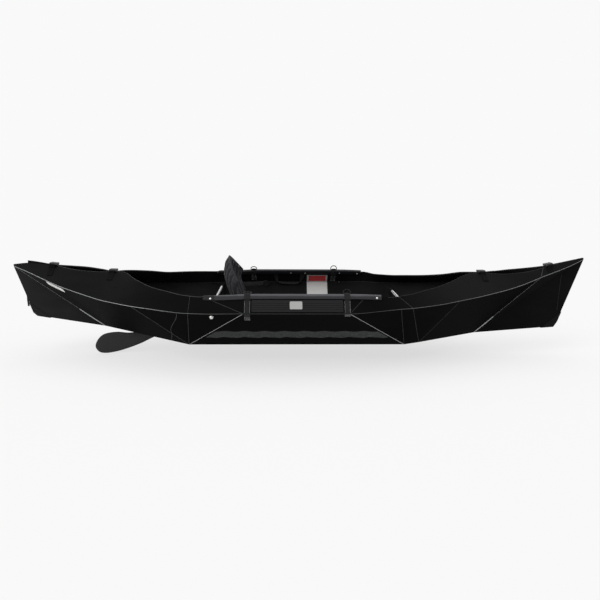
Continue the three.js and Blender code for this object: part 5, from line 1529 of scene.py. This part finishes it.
class KAYAK_OT_seat_straps(KayakPiece, bpy.types.Operator):
    """Runs the seat's side straps through their ladder buckles to the hull"""

    bl_idname = "kayak.seat_straps"
    bl_label = "Seat straps"

    def execute(self, context):
        sizes = context.scene.kayak_sizes
        start, end = np.array(STRAP_START), np.array(STRAP_END)
        along = unit(end - start)
        flat = unit(np.array([0, 0, 1]) - along * along[2])
        face = np.cross(along, flat)
        bar = (LADDER_LENGTH - 0.020) / 3
        crossbar = bar * 1.5 + 0.010
        head = end + along * GAP

        def spot(run, stand):
            """A place by its run along the buckle and its distance out from the strap."""
            return head + along * run + face * stand

        skin = sizes.webbing / 2 + 0.0024
        path = [start - along * 0.004, start + along * 0.05 - (0, 0, 0.002), start + along * 0.12 - (0, 0, 0.0015),
                spot(-0.004, 0.0006), spot(bar * 0.5, skin), spot(bar + 0.005, 0.0), spot(crossbar, -skin),
                spot(bar * 2 + 0.014, 0.0), spot(crossbar, skin), spot(bar + 0.004, skin + 0.0012),
                spot(-0.006, skin + 0.0004), spot(-0.040, skin + 0.0012)]
        strap = sweep(eased(path, 0.004), flat, SEAT_WEBBING / 2, sizes.webbing / 2, STRAP, 16)
        wire = 0.0024
        deep, wide = LADDER_LENGTH / 2 - wire, LADDER_WIDTH / 2 - wire
        middle = head + along * (LADDER_LENGTH / 2)
        corners = [middle + along * a * deep + flat * b * wide for a, b in ((-1, -1), (1, -1), (1, 1), (-1, 1))]
        line = resampled([spot(crossbar, 0) - flat * wide, spot(crossbar, 0) + flat * wide], 6)
        buckle = joined(sweep(eased(corners, 0.005, closed=True), face, wire, wire, 0.6, 12, closed=True),
                        sweep(line, face, wire * 0.8, bar * 0.42, 0.6, 12))
        tab = sweep(resampled([head + along * (LADDER_LENGTH - bar), head + along * (LADDER_LENGTH + 0.0145)], 8),
                    flat, SEAT_WEBBING / 2, sizes.webbing / 2, STRAP, 16)
        first, last = (start + along * run + face * sizes.webbing / 2 for run in (0.006, 0.028))
        stitch = stitching([(first + flat * side, last + flat * side, face) for side in (-0.007, 0.007)], sizes)
        for word, sign in SIDES.items():
            made = piece(f"{word}_seat_webbing", mirrored(strap[0], sign), strap[1], ["webbing"], None, "webbing",
                         uv=strap[2])
            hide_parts(f"{word}_seat_strap")
            tuple(mirrored(start, sign))
            tuple(mirrored(end, sign))
            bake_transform(made)
            made = piece(f"{word}_ladder_frame", mirrored(buckle[0], sign), buckle[1], ["buckle"], "hull", "buckle")
            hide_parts(f"{word}_ladder_buckle")
            piece(f"{word}_ladder_tab", mirrored(tab[0], sign), tab[1], ["webbing"], "hull", "webbing", uv=tab[2])
            piece(f"{word}_seat_webbing_stitches", mirrored(stitch[0], sign), stitch[1], ["thread"], "backrest",
                  "webbing")
        return {"FINISHED"}


class KAYAK_OT_fin(KayakPiece, bpy.types.Operator):
    """Hangs the fin's foil blade from its tongue in the shoe"""

    bl_idname = "kayak.fin"
    bl_label = "Fin"

    def execute(self, context):
        form = form_now()
        foot, stern = form.keel["stern_foot"], form.floor["stern"]
        slope = np.arctan2(foot[2], stern[0] - foot[0])
        root = FIN_ROOT * form.half[0]
        origin = np.array([root, 0, (stern[0] - root) * foot[2] / (stern[0] - foot[0])])
        axes = np.array([(cos(slope), 0, -sin(slope)), (0, 1, 0), (sin(slope), 0, cos(slope))])
        outline = centripetal(np.concatenate([BLADE, BLADE[:1]]), 145)[:-1]
        outline = np.stack([outline[:, 0] * FIN_REACH, -SHOE_HEIGHT - GAP - outline[:, 1] * FIN_DEPTH], -1)
        spine = np.array([(0.02, -0.006), (-0.12, -0.052), (-0.20, -0.083), (-0.245, -0.092)]) - (0, SHOE_HEIGHT)
        line = resampled(spine, 60)
        near = np.argmin(np.linalg.norm(outline[:, None] - line[None], axis=-1), -1)
        reach = np.linalg.norm(line[near] - outline, axis=-1)[:, None]
        border = np.minimum(FIN_BORDER / np.maximum(reach, MM), 0.6)
        share = np.concatenate([border * (0, 0.12, 0.4, 0.8, 1.0),
                                border + (1 - border) * (0.06, 0.25, 0.5, 0.75, 1.0)], 1)
        rings = outline[:, None] + share[..., None] * (line[near] - outline)[:, None]
        rise = FIN_THICK / 2 * np.array([0, 0.4, 0.58, 0.66, 0.70, 0.90, 0.95, 0.97, 0.99, 1.0])
        halves = []
        for way in (1, -1):
            grid = np.stack([rings[..., 0], way * (rise + 0.0004) + 0 * share, rings[..., 1]], -1)
            halves.append((grid.reshape(-1, 3), grid_faces(len(outline), len(rise), wrap_down=True)))
        rim = np.stack([outline[:, 0], 0 * outline[:, 0], outline[:, 1]], -1)
        band = sweep(rim, (0, 1, 0), 0.0006, 0.0006, ROUND, 8, closed=True)
        tongue = softened_block((0, 0, -0.0053), (SHOE_LENGTH / 2 - GAP, 0.009, 0.0019), squareness=0.15)
        neck = softened_block((0, 0, -0.0105), (SHOE_LENGTH / 2 - GAP, 0.003, 0.0048), squareness=0.15)
        points, faces = joined(*halves, band, tongue, neck)
        made = piece("fin_blade", origin + points @ axes, faces, ["fin"], "fin", "fin", angle=40)
        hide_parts("fin")
        eased_copy("fin_shoe", "fin_slide_shoe", "fin", 1.0 * MM)
        return {"FINISHED"}


class KAYAK_OT_trim(KayakPiece, bpy.types.Operator):
    """Adds corner caps, webbing loop, tail, studs, plain plates and the stern's flap"""

    bl_idname = "kayak.trim"
    bl_label = "Trim"

    def execute(self, context):
        self.form, self.sizes = form_now(), context.scene.kayak_sizes
        eased_copy("stern_corner_cap", "stern_keel_corner", "stern", 0.8 * MM)
        eased_copy("bow_corner_cap", "bow_keel_corner", "corner", 0.8 * MM)
        self.loop_and_tail()
        self.studs()
        self.plates()
        self.strips_and_flap()
        return {"FINISHED"}

    def patch(self, name, grid, lift, finish, sign):
        """A thin plate on a surface, lifted by its thickness."""
        normal = unit(np.cross(np.gradient(grid, axis=1), np.gradient(grid, axis=0)))
        normal *= np.sign((normal * lift).sum(-1, keepdims=True))
        points, faces, _ = slab(grid + normal * 0.9 * MM, grid + normal * 0.15 * MM)
        piece(name, mirrored(points, sign), faces, [finish], slot="hull_sheet", angle=50)

    def rounded_plate(self, corner):
        """A grid of shares over a plate whose corners are cut round."""
        a, b = np.meshgrid(np.linspace(-1, 1, 21), np.linspace(-1, 1, 13), indexing="ij")
        pull = 1 - corner * np.clip(np.abs(a * b), 0, 1) ** 6
        return (a * pull + 1) / 2, (b * pull + 1) / 2

    def loop_and_tail(self):
        """The webbing loop inside the port strake, and the stern's tail."""
        form, half = self.form, self.sizes.webbing / 2
        curve = centripetal(LOOP, 90)
        path = form.on_strake(-curve[:, 1], -form.sheet - 2 * GAP - half - curve[:, 2])
        path[:, 0] = curve[:, 0]
        twist = np.clip(curve[:, 2:] / 0.013, 0, 1) * radians(72)
        tangent = unit(np.gradient(path, axis=0))
        facing = np.cos(twist) * unit(np.cross(tangent, form.out)) + np.sin(twist) * form.out
        band = sweep(path, facing, 0.0105, half, STRAP, 16)
        made = piece("port_grab_loop", mirrored(band[0], -1), band[1], ["webbing"], slot="webbing", uv=band[2])
        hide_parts("port_side_loop")
        band = sweep(resampled(eased(TAIL, 0.02), 24), (1, 0, 0), 0.0045, half, STRAP, 16)
        made = piece("stern_tail_webbing", band[0], band[1], ["webbing"], slot="webbing", uv=band[2])
        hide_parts("stern_strap_tail")

    def studs(self):
        """A round stud on a collar, under the stern's knuckle."""
        form = self.form
        spot = form.knuckle(np.array([STUD[0]]))[0] + form.side_down * STUD[1]
        stud = domed(spot + form.side_out * 0.001, form.side_out, 0.0088, 0.0092)
        collar = turned([(0.0, 0.0001), (0.0098, 0.0001), (0.0098, 0.0012), (0.0088, 0.0016), (0.0, 0.0016)],
                        spot + form.side_out * 0.0004, form.side_out, 28)
        both_sides("side_stud", joined(stud, collar), ["rivet"], slot="steel")

    def plates(self):
        """Plain plates: on both sides of the stern, on the near ribbed board, and on the far side's inner face."""
        form = self.form
        a, b = self.rounded_plate(0.12)
        station, length, drop, height = STERN_PLATE
        x = station + a * length
        top = form.knuckle(x)
        along = unit(form.knuckle(x + MM) - form.knuckle(x - MM))
        down = form.foot(x[:, 0])[:, None] - top
        down = unit(down - (down * along).sum(-1, keepdims=True) * along)
        grid = top + down * (drop + a * 0.008 + b * height)[..., None]
        for word, sign in SIDES.items():
            self.patch(f"{word}_stern_plate_label", grid, (0, -1, 0), "label", sign)

        a, b = self.rounded_plate(0.03)
        station, length, rise, height = BOARD_PLATE
        grid = form.on_strake(rise + b * height - form.strake_height, np.full(b.shape, GAP + 0.006))
        grid[..., 0] = station + a * length
        self.patch("starboard_board_plate", grid, (0, -1, 0.4), "board_plate", 1)

        a, b = np.meshgrid(np.linspace(0, 1, 25), np.linspace(0, 1, 30), indexing="ij")
        station, length, drop, height = INNER_PLATE
        tall, run = form.strake_height, drop + b * height
        face = np.full(run.shape, -form.sheet)
        upper = form.on_strake(-np.minimum(run, tall - 0.004), face)
        lower = form.on_side(np.maximum(run - tall, 0.004), face)
        grid = np.where((run > tall)[..., None], lower, upper)
        grid[..., 0] = station + a * length
        self.patch("port_inner_plate", grid, (0, 1.0, -0.6), "plate", -1)
        self.patch("port_inner_band", grid[2:-2, 1:10] + (0, 0.0009, 0), (0, 1.0, -0.6), "band", -1)

    def strips_and_flap(self):
        """The pale strips over the end creases, a painted highlight on the folds, thinning to their ends, and the
        raised flap at the stern tip.
        """
        form, share = self.form, np.linspace(0, 1, 30)
        # Painted highlights: pale strips where light catches the end folds
        for end, first, last, thick, x in (("stern", 0.01, 0.29, 0.0034, form.stations[0]),
                                           ("bow", 0.005, 0.30, 0.0036, form.crease_top)):
            foot, top = form.keel[f"{end}_foot"], form.knuckle(np.array([x]))[0]
            path = foot + (first + share[:, None] * (last - first)) * (top - foot) - (0, 0.6 * MM, 0)
            strip = sweep(path, (0, 1, 0), 0.0014, thick * np.sin(pi * (share * 0.94 + 0.03)) ** 0.2, 0.6, 14)
            both_sides(f"{end}_fold_strip", strip, ["crease"], slot="hull_sheet", wear=np.full(len(strip[0]), 0.85))
        a, b = np.meshgrid(np.linspace(0, 1, 30), np.linspace(0, 1, 8), indexing="ij")
        x = FLAP[0] + a * FLAP[1]
        rise = -0.004 + b * (0.011 * (1 - a) ** 0.9 + 0.005)
        outer = np.stack([x, -0.0022 - 0.004 * a, form.rim(x)[..., 2] + rise], -1)
        points, faces, kinds = slab(outer, outer + (0, 0.0044, 0))
        piece("stern_flap", points, faces, ["strakes", "sheet", "edge"], slot="hull_sheet", kinds=kinds)


class KAYAK_OT_stage(KayakPiece, bpy.types.Operator):
    """Sets the pale floor, the soft lights and the camera"""

    bl_idname = "kayak.stage"
    bl_label = "Stage"

    def execute(self, context):
        ground = (*context.scene.kayak_colours.ground, 1.0)
        floor = Finish("ground", **{"Roughness": 1.0, "Specular IOR Level": 0.0, "Base Color": ground})
        glow = floor.node("ShaderNodeEmission", {}, {"Color": ground, "Strength": 1.0})
        mixed = floor.node("ShaderNodeMixShader", {}, {
            0: seen_directly(floor) * GROUND_GLOW, 1: floor.shader.outputs[0], 2: glow.outputs[0]})
        floor.feed(floor.output, {"Surface": mixed.outputs[0]})
        mesh = bpy.data.meshes.new("ground")
        reach, low = 60.0, CAD_LOW.z - 0.5 * MM
        mesh.from_pydata([(-reach, -reach, low), (reach, -reach, low), (reach, reach, low), (-reach, reach, low)],
                         [], [(0, 1, 2, 3)])
        mesh.materials.append(floor.material)
        plane = bpy.data.objects.new("ground", mesh)
        context.scene.collection.objects.link(plane)

        world = bpy.data.worlds.new("studio")
        context.scene.world = world
        world.use_nodes = True
        sky = Finish.on_tree(world.node_tree)
        fill = sky.node("ShaderNodeBackground", {}, {"Color": (1.0, 1.0, 1.0, 1.0), "Strength": FILL})
        shown = sky.node("ShaderNodeBackground", {}, {"Color": ground, "Strength": 1.0})
        mixed = sky.node("ShaderNodeMixShader", {}, {0: seen_directly(sky), 1: fill.outputs[0], 2: shown.outputs[0]})
        sky.node("ShaderNodeOutputWorld", {}, {0: mixed.outputs[0]})

        for name, (strength, towards, spread) in LAMPS.items():
            light = bpy.data.lights.new(name, "SUN")
            light.energy, light.angle = strength, radians(spread)
            lamp = bpy.data.objects.new(name, light)
            back = unit(np.array(towards))
            side = unit(np.cross((0.0, 1.0, 0.1), back))
            lamp.matrix_world = Matrix(np.stack([side, np.cross(back, side), back], 1).tolist()).to_4x4()
            context.scene.collection.objects.link(lamp)

        pitch, yaw, roll = np.radians(CAMERA_TURN)
        level = np.array([cos(yaw), -sin(yaw), 0.0])
        forward = np.array([sin(yaw) * cos(pitch), cos(yaw) * cos(pitch), -sin(pitch)])
        upward = np.array([sin(yaw) * sin(pitch), cos(yaw) * sin(pitch), cos(pitch)])
        right = level * cos(roll) + upward * sin(roll)
        top = upward * cos(roll) - level * sin(roll)
        data = bpy.data.cameras.new("view")
        data.sensor_width = 36.0
        data.lens = FOCAL / FRAME_SIZE * data.sensor_width
        data.clip_end = 200.0
        camera = bpy.data.objects.new("view", data)
        place = Matrix(np.stack([right, top, -forward], 1).tolist()).to_4x4()
        place.translation = CAMERA_PLACE
        camera.matrix_world = place
        context.scene.collection.objects.link(camera)
        context.scene.camera = camera
        context.scene.view_settings.view_transform = "Standard"
        return {"FINISHED"}


class KAYAK_PT_panel(bpy.types.Panel):
    """Lists the boat's pieces with their sizes and colours"""

    bl_idname = "KAYAK_PT_panel"
    bl_label = "Folding kayak"
    bl_space_type = "VIEW_3D"
    bl_region_type = "UI"
    bl_category = "Kayak"

    def draw(self, context):
        layout = self.layout
        for group in (context.scene.kayak_sizes, context.scene.kayak_colours):
            column = layout.column(align=True)
            for name in group.bl_rna.properties.keys():
                if name not in ("rna_type", "name"):
                    column.prop(group, name)
        for kind in OPERATORS:
            layout.operator(kind.bl_idname)


OPERATORS = [
    KAYAK_OT_stage, KAYAK_OT_hull, KAYAK_OT_creases, KAYAK_OT_rails, KAYAK_OT_rail_straps, KAYAK_OT_deck_buckles,
    KAYAK_OT_boards, KAYAK_OT_seat, KAYAK_OT_seat_straps, KAYAK_OT_fin, KAYAK_OT_trim,
]
CLASSES = [KayakSizes, KayakColours, KAYAK_PT_panel, *OPERATORS]


def register():
    for kind in CLASSES:
        bpy.utils.register_class(kind)
    bpy.types.Scene.kayak_sizes = bpy.props.PointerProperty(type=KayakSizes)
    bpy.types.Scene.kayak_colours = bpy.props.PointerProperty(type=KayakColours)


def unregister():
    del bpy.types.Scene.kayak_colours
    del bpy.types.Scene.kayak_sizes
    for kind in reversed(CLASSES):
        bpy.utils.unregister_class(kind)


def main():
    register()
    for kind in OPERATORS:
        group, name = kind.bl_idname.split(".")
        getattr(getattr(bpy.ops, group), name)()


if __name__ == "__main__":
    main()
